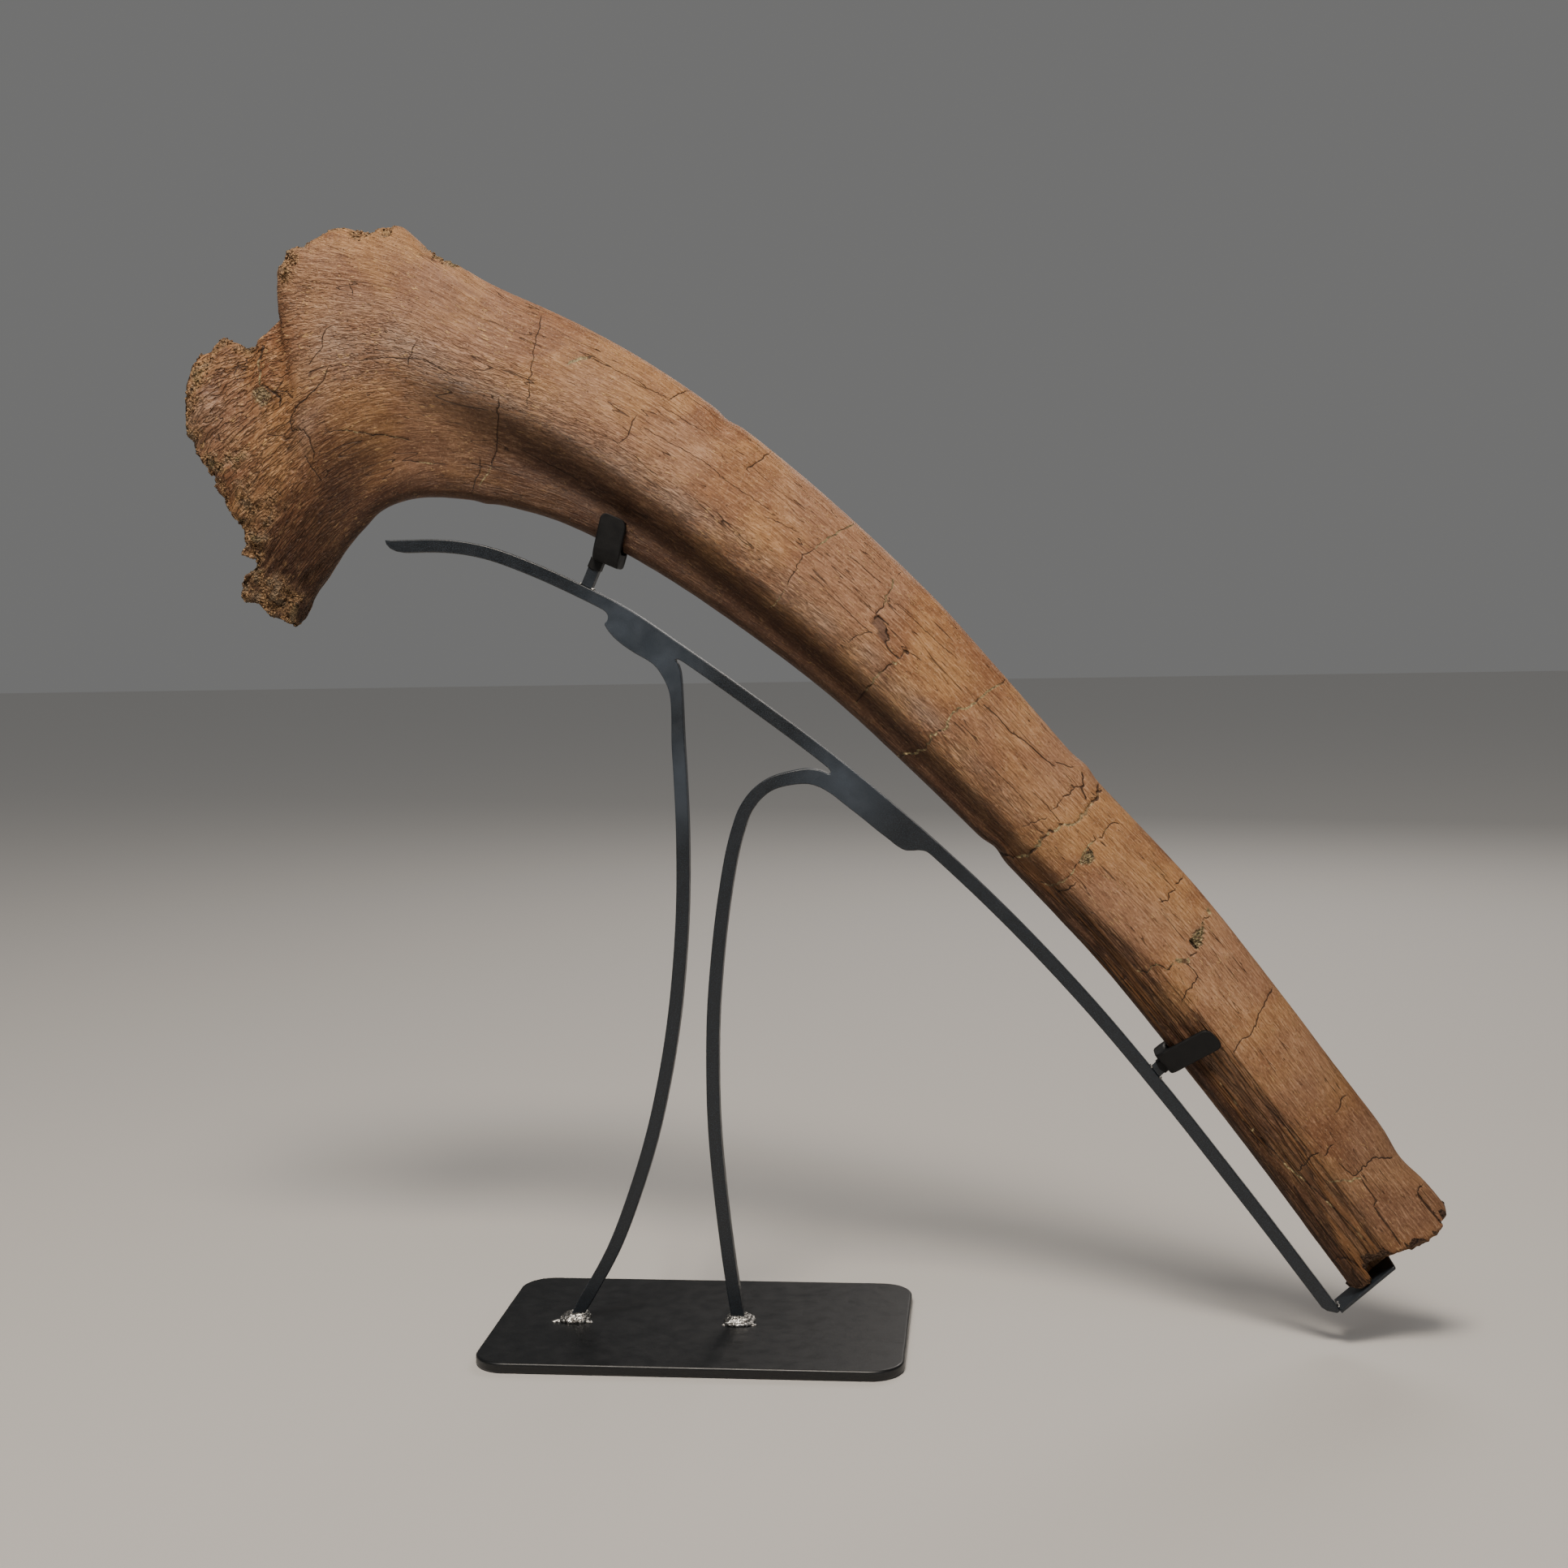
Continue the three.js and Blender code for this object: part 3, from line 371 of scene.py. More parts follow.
# fine splits that follow the grain
grainSplits = [
    [(236, 0.704), (242, 0.707)],
    [(242, 0.87), (256, 0.873), (267, 0.88), (278, 0.877), (289, 0.89)],
    [(266, 0.528), (272, 0.535), (281, 0.522), (290, 0.518), (298, 0.498), (307, 0.492)],
    [(285, 0.681), (302, 0.684), (310, 0.694), (328, 0.707), (340, 0.691), (359, 0.701), (372, 0.711)],
    [(285, 0.83), (298, 0.837), (309, 0.84), (318, 0.853)],
    [(324, 0.495), (334, 0.495), (343, 0.482), (349, 0.468)],
    [(361, 0.465), (372, 0.459), (378, 0.465)],
    [(372, 0.66), (381, 0.687), (394, 0.72)],
    [(346, 0.508), (359, 0.485), (377, 0.468)],
    [(422, 0.81), (433, 0.823), (439, 0.817), (447, 0.827)],
    [(425, 0.545), (434, 0.538), (443, 0.535), (453, 0.528), (462, 0.532)],
    [(443, 0.644), (450, 0.651), (455, 0.644)],
    [(458, 0.784), (466, 0.797), (475, 0.794), (486, 0.804), (494, 0.807), (507, 0.83)],
    [(565, 0.468), (575, 0.472), (586, 0.475), (598, 0.478)],
    [(593, 0.565), (604, 0.575), (618, 0.561)],
    [(598, 0.847), (602, 0.847), (606, 0.84)],
    [(738, 0.555), (742, 0.561)],
    [(750, 0.24), (772, 0.2), (800, 0.21), (818, 0.23)],
    [(655, 0.13), (680, 0.16), (704, 0.2)],
    [(220, 0.3), (240, 0.27), (262, 0.25)],
]
# pieces of the outer skin that are lost: depth, share filled with silt, and their outline
chips = [
    (1.3, 0, [(456, 0.585), (457, 0.651), (460, 0.648), (465, 0.634), (468, 0.601), (470, 0.595), (472, 0.541),
              (469, 0.548), (465, 0.551), (463, 0.575), (460, 0.578)]),
    (0.8, 1, [(714, 0.873), (720, 0.814), (722, 0.767), (724, 0.747), (724, 0.717), (726, 0.691), (724, 0.674),
              (721, 0.671), (718, 0.681), (718, 0.714), (716, 0.787), (716, 0.823)]),
    (0.3, 0.9, [(640, 0.548), (642, 0.591), (646, 0.565), (646, 0.505), (645, 0.455), (642, 0.442),
                (642, 0.485)]),
    (0.2, 0.6, [(30, 0.797), (36, 0.787), (39, 0.741), (35, 0.711), (31, 0.744)]),
]
# patches of crumbled, spongy bone: distance, place across, half length, half width
spongePatches = [
    (0, 0.1, 32, 0.12), (2, 0.34, 34, 0.18), (2, 0.55, 25, 0.13), (0, 0.75, 15, 0.12), (0, 0.9, 17, 0.1),
    (22, 1.0, 16, 0.07), (76, 0.965, 20, 0.1), (124, 0.98, 8, 0.06), (104, 1.0, 20, 0.05), (150, 1.0, 16, 0.03),
    (54, 0.985, 12, 0.07),
]
# worn patches that take a soft shine, and a painted sheen: they are painted a lighter, greyer tone
polishAndSheenPatches = [
    (98, 0.6, 30, 0.14), (140, 0.58, 34, 0.08), (190, 0.52, 40, 0.06), (12, 0.76, 13, 0.12),
    (70, 0.48, 25, 0.1), (330, 0.43, 110, 0.08), (480, 0.38, 100, 0.09),
]
# where the light breaks over the crest: distance and place across
crestLine = np.array([
    [125, 0.47], [200, 0.455], [240, 0.385], [280, 0.335], [320, 0.295], [360, 0.27], [400, 0.255], [450, 0.23],
    [500, 0.22], [560, 0.235], [620, 0.25], [680, 0.265], [740, 0.32], [800, 0.41], [860, 0.43], [939, 0.46],
])
# how far up the fluted strip reaches: distance and place across
stripLine = np.array([[560, 0.06], [636, 0.14], [746, 0.33], [785, 0.36], [835, 0.38], [932, 0.4]])
# the painted shade of the valley under the crest, by distance: how wide its upper edge fades, and how dark
# it is, low down and in all
valleySoft = np.array([[600, 0.14], [760, 0.3]])
valleyLow = np.array([[100, 0.1], [140, 0.5], [200, 0.85], [260, 1]])
valleyDark = np.array([[500, 1], [570, 0.88], [640, 0.76], [800, 0.72]])

# lumps along the grain: height, length, width, how far they are shifted both ways, and whether they are folded
grainLayers = {
    "fibres": ((1, 9, 2.6, 0, 0, False), (0.6, 6, 1.7, 0, 31, False)),
    "wrinkles": ((-1, 13, 2.4, 5, 0, True), (-0.6, 7, 1.7, 0, 12, True)),
    "leather": ((1, 10, 4.4, 3, 0, False), (-0.8, 7, 2.8, 0, 40, True)),
    "ridges": ((1, 70, 6, 0, 0, False), (-0.8, 50, 4, 9, 0, True)),
}


def stationsAt(place):
    # every column of the station table, smooth at fractional station numbers
    last = len(ribStations) - 1
    i = np.minimum(place.astype(int), last - 1)
    a, b = ribStations[i], ribStations[i + 1]
    before = np.where((i > 0)[:, None], ribStations[np.maximum(i - 1, 0)], 2 * a - b)
    after = np.where((i + 2 <= last)[:, None], ribStations[np.minimum(i + 2, last)], 2 * b - a)
    return hermite(a, b, (b - before) / 2, (after - a) / 2, (place - i)[:, None])


def throughKnots(places, values, t):
    # a smooth value at t through each row's own knots
    rows = np.arange(len(t))
    last = places.shape[1] - 1
    i = (t[:, None] > places[:, 1:last]).sum(1)

    def slope(k):
        low, high = np.maximum(k - 1, 0), np.minimum(k + 1, last)
        return (values[rows, high] - values[rows, low]) / (places[rows, high] - places[rows, low])

    span = places[rows, i + 1] - places[rows, i]
    part = np.clip((t - places[rows, i]) / span, 0, 1)
    return hermite(values[rows, i], values[rows, i + 1], slope(i) * span, slope(i + 1) * span, part)


stationSteps = 200
finePlace = np.linspace(0, len(ribStations) - 1, (len(ribStations) - 1) * stationSteps + 1)
fineMiddle = (stationsAt(finePlace)[:, 0:2] + stationsAt(finePlace)[:, 2:4]) / 2
fineDistance = np.concatenate([[0], np.cumsum(np.hypot(*np.diff(fineMiddle, axis=0).T))])
ribLength = fineDistance[-1]


def bumpHeight(bumps, distance):
    return sum(height * np.exp(-(((distance - at) / half) ** 2)) for at, height, half in bumps)


def swellHeight(swells, distance, t):
    return sum(
        height * np.exp(-(((distance - at) / halfLength) ** 2) - ((t - middle) / halfWidth) ** 2)
        for at, middle, height, halfLength, halfWidth in swells
    )


def patchMask(patches, distance, t):
    # 1 inside any of the soft-edged patches
    mask = np.zeros(len(t))
    for at, across, halfLength, halfWidth in patches:
        spread = ((distance - at) / halfLength) ** 2 + ((t - across) / halfWidth) ** 2
        mask = np.maximum(mask, np.exp(-spread))
    return mask


def edgeExcess(t, axis):
    t = np.clip(t, 0, 1)
    first = ribStations[0]
    return np.interp(t, headEdge[:, 0], headEdge[:, axis + 1]) - mix(first[axis], first[axis + 2], t)


def headOffset(distance, t, axis):
    # the ragged edge's shape, averaged over more of the width the deeper it reaches
    spread = np.minimum(0.14, distance / 400)

    def average(at):
        return sum(edgeExcess(at + k * spread, axis) for k in (-1, -0.5, 0, 0.5, 1)) / 5

    pinned = average(t) - mix(average(t * 0), average(t * 0 + 1), t)
    return (1 - ease(distance / rib["headReach"])) * pinned


def rimRound(fromEdge, radius):
    return np.sqrt(1 - (1 - np.clip(fromEdge / radius, 0, 1)) ** 2)


def ribSurface(distance, t, isFront):
    # x, y, z in millimetres for each distance along, place across and side, and the rib's width there
    row = stationsAt(np.interp(distance, fineDistance, finePlace))
    low, high = row[:, 0:2], row[:, 2:4]
    width = np.hypot(*(high - low).T)
    across = (high - low) / width[:, None]
    grow = bumpHeight(highBumps, distance) * ease((t - 0.75) / 0.25)
    drop = bumpHeight(lowBumps, distance) * ease((0.2 - t) / 0.2)
    flat = mix(low, high, t[:, None]) + across * (grow - drop)[:, None]
    tipShape = np.where(isFront, *(np.interp(t, tipEdge[:, 0], tipEdge[:, side]) for side in (1, 2)))
    tip = (1 - ease((ribLength - distance) / rib["tipReach"])) * tipShape
    x = flat[:, 0] + headOffset(distance, t, 0) + across[:, 1] * tip
    z = flat[:, 1] + headOffset(distance, t, 1) - across[:, 0] * tip
    crestAt, crest, grooveAt, groove, frontLow, frontHigh, backLow, backMid, backHigh = row[:, 4:].T
    zero = t * 0
    frontPlaces = np.stack([zero, grooveAt / 2, grooveAt, crestAt, (1 + crestAt) / 2, zero + 1], 1)
    frontDepths = np.stack([frontLow, frontLow + 1, groove, crest, mix(crest, frontHigh, 0.35), frontHigh], 1)
    front = throughKnots(frontPlaces, frontDepths, t) + swellHeight(headSwells, distance, t)
    backPlaces = np.stack([zero, zero + 0.5, zero + 1], 1)
    back = throughKnots(backPlaces, np.stack([backLow, backMid, backHigh], 1), t)
    less, at, reach = rib["thickRim"]
    highRim = rib["highRim"] - less * np.exp(-(((distance - at) / reach) ** 2))
    rounding = rimRound(t * width, rib["lowRim"]) * rimRound((1 - t) * width, highRim)
    worn = mix(0.62, 1, ease(distance / rib["headTaper"]))
    rough = mix(rib["headRoughness"], rib["shaftRoughness"], ease(distance / rib["headReach"]))
    lump = lumps(x / rib["lumpSize"], z / rib["lumpSize"] + np.where(isFront, 0, 50))
    half = (front + back) / 2 * rounding * worn + rough * rounding * lump
    bow = rib["headBow"] * np.maximum(0, 1 - distance / rib["bowLength"]) ** 2
    y = (back - front) / 2 + bow + np.where(isFront, -half, half)
    return np.stack([x, y, z], 1), width


def edgeColumns(count):
    # places across a face, packed closely where the rims turn over
    rim = np.array([0, 0.0008, 0.0028, 0.006, 0.0105, 0.016, 0.023, 0.031])
    return np.concatenate([rim[:-1], np.linspace(rim[-1], 1 - rim[-1], count), 1 - rim[:-1][::-1]])


def frontFlat(distance, t):
    return ribSurface(distance, t, np.ones(len(t), bool))[0][:, (0, 2)]


def markPath(points, sideStep, wander):
    # a mark's close-set course in x and z: it steps aside along the grain, then runs on across it
    marks = np.array(points, float)
    reach = lineLengths(marks * (1, rib["meanWidth"]))
    at = np.append(np.arange(0, reach[-1], rib["markStep"]), reach[-1])
    distance, t = (np.interp(at, reach, marks[:, k]) for k in (0, 1))
    cell = at / rib["stairLength"] + marks[0, 0]
    first = np.floor(cell)
    turn = ease((cell - first - 0.6) / 0.4)
    stair = mix(scatterValue(first, 7), scatterValue(first + 1, 7), turn) - 0.5
    loose = ease(np.minimum(at, reach[-1] - at) / 2)
    distance = distance + 2 * sideStep * stair * loose
    return frontFlat(distance, t + wander * lumps(at / 1.7, at * 0 + marks[0, 0]) / rib["meanWidth"] * loose)


def lineLengths(line):
    return np.concatenate([[0], np.cumsum(np.hypot(*np.diff(line, axis=0).T))])


def nearestOn(path, places):
    # distance to a path, the side of it, and how far along it the nearest point lies
    start, step = path[:-1], np.diff(path, axis=0)
    toStart = places[:, None] - start
    share = np.clip((toStart * step).sum(2) / np.maximum((step ** 2).sum(1), 1e-9), 0, 1)
    gap = toStart - share[..., None] * step
    length = np.hypot(gap[..., 0], gap[..., 1])
    rows, k = np.arange(len(places)), length.argmin(1)
    side = np.sign(step[k, 0] * gap[rows, k, 1] - step[k, 1] * gap[rows, k, 0])
    return length[rows, k], side, k + share[rows, k]


def markPaths():
    paths = [(markPath(points, 0.55 + half, 0.15), half, deep, fill) for half, deep, fill, points in cracks]
    width, depth = rib["splitWidth"], rib["splitDepth"]
    return paths + [(markPath(points, 0, 0.35), width, depth, 0) for points in grainSplits]


farAway = 9  # millimetres, for places that no crack is near
crackReach = 2.5  # how far from its edge a crack is felt


def crackFields(flat, isFront, paths):
    # for each point the signed distance to its nearest crack, that crack's half width, depth and silt there,
    # and how near it is at all
    near, away, half, deep, fill = np.zeros((5, len(flat)))
    near[:], away[:] = farAway, farAway
    for path, width, depth, silt in paths:
        reach = width + crackReach
        boxed = isFront & (flat > path.min(0) - reach).all(1) & (flat < path.max(0) + reach).all(1)
        boxed = np.flatnonzero(boxed)
        if len(boxed) == 0:
            continue
        length, side, at = nearestOn(path, flat[boxed])
        taper = ease((np.minimum(at, len(path) - 1 - at) + 0.5) / 4)
        uneven = 1 + 0.35 * lumps(at / 4, at * 0 + path[0, 0])
        closer = length - width < near[boxed]
        at, boxed = at[closer], boxed[closer]
        near[boxed] = length[closer] - width
        away[boxed] = (length * side)[closer]
        half[boxed] = (width * taper * uneven)[closer]
        deep[boxed] = (depth * taper)[closer]
        fill[boxed] = np.clip(silt + 1.2 * (silt > 0) * lumps(at / 5, at * 0 + path[0, 1]), 0, 1)
    return near, away, half, deep, fill


def chipFields(flat, isFront):
    # how far each point lies inside a chip, and that chip's depth and silt
    inside, deep, fill = np.zeros((3, len(flat)))
    for depth, silt, outline in chips:
        ring = np.array(outline + outline[:1], float)
        path = markPath(ring, 0.3, 0.1)
        boxed = isFront & (flat > path.min(0) - 1).all(1) & (flat < path.max(0) + 1).all(1)
        boxed = np.flatnonzero(boxed)
        if len(boxed) == 0:
            continue
        x, z = flat[boxed].T[:, :, None]
        (x0, z0), (x1, z1) = path[:-1].T, path[1:].T
        span = np.where(z1 == z0, 1e-9, z1 - z0)
        crossings = ((z0 > z) != (z1 > z)) & (x < x0 + (z - z0) / span * (x1 - x0))
        depthIn = nearestOn(path, flat[boxed])[0] * np.where(crossings.sum(1) % 2 == 1, 1, -1)
        cut = ease((depthIn + 0.3) / 0.6)
        closer = cut > inside[boxed]
        boxed = boxed[closer]
        inside[boxed], deep[boxed], fill[boxed] = cut[closer], depth, silt
    return inside, deep, fill


def zipStrip(upper, lower):
    # triangles between two rows of (place, index) that run the same way
    faces = []
    i = j = 0
    while i < len(upper) - 1 or j < len(lower) - 1:
        takeUpper = j == len(lower) - 1 or (i < len(upper) - 1 and upper[i + 1][0] <= lower[j + 1][0])
        if takeUpper:
            faces.append((upper[i][1], upper[i + 1][1], lower[j][1]))
            i += 1
        else:
            faces.append((upper[i][1], lower[j + 1][1], lower[j][1]))
            j += 1
    return [face for face in faces if len(set(face)) == 3]


def ribGrid():
    # the whole rib as rings, with a sunk, crumbled face over each broken end
    head = np.arange(0, rib["denseLength"], rib["headStep"])
    shaftRows = int((ribLength - rib["denseLength"]) / rib["shaftStep"])
    rows = np.concatenate([head, np.linspace(rib["denseLength"], ribLength, shaftRows)])
    frontT, backT = edgeColumns(rib["frontColumns"]), edgeColumns(rib["backColumns"])
    ringT = np.concatenate([frontT, backT[-2:0:-1]])
    ringFront = np.concatenate([np.ones(len(frontT), bool), np.zeros(len(backT) - 2, bool)])
    ring = len(ringT)
    distance, t = np.repeat(rows, ring), np.tile(ringT, len(rows))
    isFront = np.tile(ringFront, len(rows))
    a = (np.arange(len(rows) - 1)[:, None] * ring + np.arange(ring)[None]).ravel()
    b = (np.arange(len(rows) - 1)[:, None] * ring + (np.arange(ring)[None] + 1) % ring).ravel()
    faces = np.stack([a, a + ring, b + ring, b], 1).tolist()
    capPoints, caps = [], []
    for start, at, inward, depth, flip in (
        (0, 0.0, rib["headInward"], rib["spongeDepth"], False),
        ((len(rows) - 1) * ring, ribLength, rib["tipInward"], rib["hollowDepth"], True),
    ):
        frontPoints = ribSurface(np.full(len(frontT), at), frontT, np.ones(len(frontT), bool))[0]
        backPoints = ribSurface(np.full(len(frontT), at), frontT, np.zeros(len(frontT), bool))[0]
        above = [(place, start + k) for k, place in enumerate(frontT)]
        backRow = [(place, start + (k if k == 0 else ring - k)) for k, place in enumerate(backT)]
        backRow[-1] = (1.0, start + len(frontT) - 1)
        for row in range(1, rib["capRows"]):
            share = 0.5 - 0.5 * math.cos(math.pi * row / rib["capRows"])
            wall = ease(np.minimum(share, 1 - share) * np.abs(backPoints[:, 1] - frontPoints[:, 1]) / 3)
            sink = depth * wall * np.sin(np.pi * frontT) ** 0.5
            points = mix(frontPoints, backPoints, share)
            sink = sink * (0.75 + 0.25 * lumps(points[:, 0] / 4, points[:, 1] / 3 + points[:, 2] / 5))
            points[:, 0] += inward[0] * sink
            points[:, 2] += inward[1] * sink
            first = len(distance) + len(capPoints)
            below = [(place, first + k - 1) for k, place in enumerate(frontT[1:-1], 1)]
            below = [above[0]] + below + [above[-1]]
            capPoints.extend(points[1:-1])
            caps.extend((f, flip) for f in zipStrip(above, below))
            above = below
        caps.extend((f, flip) for f in zipStrip(above, backRow))
    faces += [face[::-1] if flip else face for face, flip in caps]
    return distance, t, isFront, np.array(capPoints), faces


def refineNearCracks(mesh, paths):
    # splits long edges close to the cracks, so that each cut has several points across it
    shape = bmesh.new()
    shape.from_mesh(mesh)
    layers = [shape.verts.layers.float[name] for name in ("along", "across", "side")]
    for reach, longest in rib["refine"]:
        table = np.array([[v[layer] for layer in layers] for v in shape.verts])
        isFront = table[:, 2] > 0.5
        points, _ = ribSurface(table[:, 0], table[:, 1], isFront)
        near = crackFields(points[:, (0, 2)], isFront, paths)[0]
        near = np.minimum(near, farAway * (1 - chipFields(points[:, (0, 2)], isFront)[0]))
        shape.verts.index_update()
        ends = np.array([[v.index for v in e.verts] for e in shape.edges])
        length = np.linalg.norm(points[ends[:, 0]] - points[ends[:, 1]], axis=1)
        chosen = (near[ends].max(1) < reach) & (length > longest)
        edges = [edge for edge, wanted in zip(shape.edges, chosen) if wanted]
        bmesh.ops.subdivide_edges(shape, edges=edges, cuts=1, use_grid_fill=True)
    bmesh.ops.triangulate(shape, faces=[f for f in shape.faces if len(f.verts) > 4])
    shape.to_mesh(mesh)
    shape.free()


def setField(mesh, name, values, kind="FLOAT"):
    field = mesh.attributes.new(name, kind, "POINT")
    part = "vector" if kind == "FLOAT_VECTOR" else "value"
    field.data.foreach_set(part, np.asarray(values, np.float32).ravel())


def getField(mesh, name):
    values = np.zeros(len(mesh.vertices), np.float32)
    mesh.attributes[name].data.foreach_get("value", values)
    return values.astype(float)


def calmHead(mesh, points, along, isCap):
    # evens out the head's depth from front to back, and leaves its outline alone
    ends = np.zeros(len(mesh.edges) * 2, np.int32)
    mesh.edges.foreach_get("vertices", ends)
    a, b = ends.reshape(-1, 2).T
    count = np.bincount(ends, minlength=len(points))
    share = rib["calmShare"] * (1 - ease((along - 100) / 60)) * ~isCap
    y = points[:, 1].copy()
    atX, atZ, wide, high = rib["saddle"]
    spread = ((points[:, 0] - atX) / wide) ** 2 + ((points[:, 2] - atZ) / high) ** 2
    saddle = rib["saddleShare"] * np.exp(-spread) * ~isCap
    for part, rounds in ((share, rib["calmRounds"]), (saddle, rib["saddleRounds"])):
        for _ in range(rounds):
            around = np.bincount(a, y[b], len(y)) + np.bincount(b, y[a], len(y))
            y += part * (around / count - y)
    return np.column_stack([points[:, 0], y, points[:, 2]])


def grainField(points, along, across, side):
    # how far along the fibres and round the rod each point lies; the fibres fan out over the head
    x, z = points[:, 0], points[:, 2]
    lowFan = 500 - 0.0075 * np.maximum(0, -150 - x) ** 2
    highFan = 601 - 0.45 * x
    head = 1 - ease((along - 120) / 80)
    across = mix(across, (z - lowFan) / (highFan - lowFan), head)
    turn = np.arccos(np.clip(1 - 2 * across, -1, 1)) * np.where(side > 0.5, 1, -1)
    return mix(along, x + 306, head), turn


def buildRib():
    distance, t, isFront, capPoints, faces = ribGrid()
    points, _ = ribSurface(distance, t, isFront)
    mesh = newMesh("fossil_rib", np.concatenate([points, capPoints]) * mm, faces)
    blank = np.zeros(len(capPoints))
    capEnd = np.where(capPoints[:, 0] > 0, ribLength, 0.0)
    setField(mesh, "along", np.concatenate([distance, capEnd]))
    setField(mesh, "across", np.concatenate([t, blank + 0.5]))
    setField(mesh, "side", np.concatenate([isFront.astype(float), blank - 1]))
    paths = markPaths()
    refineNearCracks(mesh, paths)
    along, across, side = (getField(mesh, name) for name in ("along", "across", "side"))
    isCap = side < -0.25
    points, width = ribSurface(along, across, side > 0.5)
    points[isCap] = readPoints(mesh)[isCap] / mm
    points = calmHead(mesh, points, along, isCap)
    writePoints(mesh, points * mm)
    grainAlong, turn = grainField(points, along, across, side)
    relief, fields = ribRelief(points, width, along, across, side, grainAlong, turn, paths)
    normals = np.zeros(len(points) * 3, np.float32)
    mesh.vertex_normals.foreach_get("vector", normals)
    points = points + normals.reshape(-1, 3) * relief[:, None]
    low, high = (np.array(corner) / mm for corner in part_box("rib"))
    points = np.clip(points, low, high)
    writePoints(mesh, points * mm)
    for name, values in fields.items():
        setField(mesh, name, values)
    rod = rib["meanWidth"] / 2
    setField(mesh, "grain", np.stack([grainAlong, rod * np.cos(turn), rod * np.sin(turn)], 1), "FLOAT_VECTOR")
    mesh.shade_smooth()
    print("rib:", len(mesh.vertices), "points,", sum(len(f.vertices) - 2 for f in mesh.polygons), "triangles")
    return newObject("fossil_rib", mesh)


def readPoints(mesh):
    values = np.zeros(len(mesh.vertices) * 3, np.float32)
    mesh.vertices.foreach_get("co", values)
    return values.reshape(-1, 3).astype(float)


def writePoints(mesh, points):
    mesh.vertices.foreach_set("co", points.astype(np.float32).ravel())
    mesh.update()


def grainRelief(name, grainAlong, around):
    return sum(
        height * (np.abs(layer) if folded else layer)
        for height, length, width, shiftAlong, shiftRound, folded in grainLayers[name]
        for layer in [lumps(grainAlong / length + shiftAlong, around / width + shiftRound)]
    )


def ribShade(x, z, width, along, across, crestAt):
    # painted shade: how dark the front is painted where it turns from the light: the valley under the crest,
    # the head's low side, the low edge, both ends and the places listed above
    soft = np.interp(along, *valleySoft.T)
    nearCrest = ease((across - crestAt + 0.24) / 0.12)
    lower = mix(np.interp(along, *valleyLow.T), ease((along - 100) / 150), nearCrest)
    valley = lower * (1 - ease((across - crestAt + soft / 2) / soft)) * np.interp(along, *valleyDark.T)
    lowHead = (1 - ease((across - 0.12) / 0.46)) * (1 - ease((along - 80) / 110))
    undercut = 1 - ease((across * width - 7) / (10 + width * 0.1))
    ends = 0.38 * ease((along - 740) / 140) + 0.18 * (1 - ease((along - 220) / 160))
    shade = np.maximum(np.maximum(valley, lowHead), np.maximum(undercut, ends))
    for atX, atZ, wide, high, dark in headShades:
        shade = np.maximum(shade, dark * np.exp(-(((x - atX) / wide) ** 2) - ((z - atZ) / high) ** 2))
    return shade


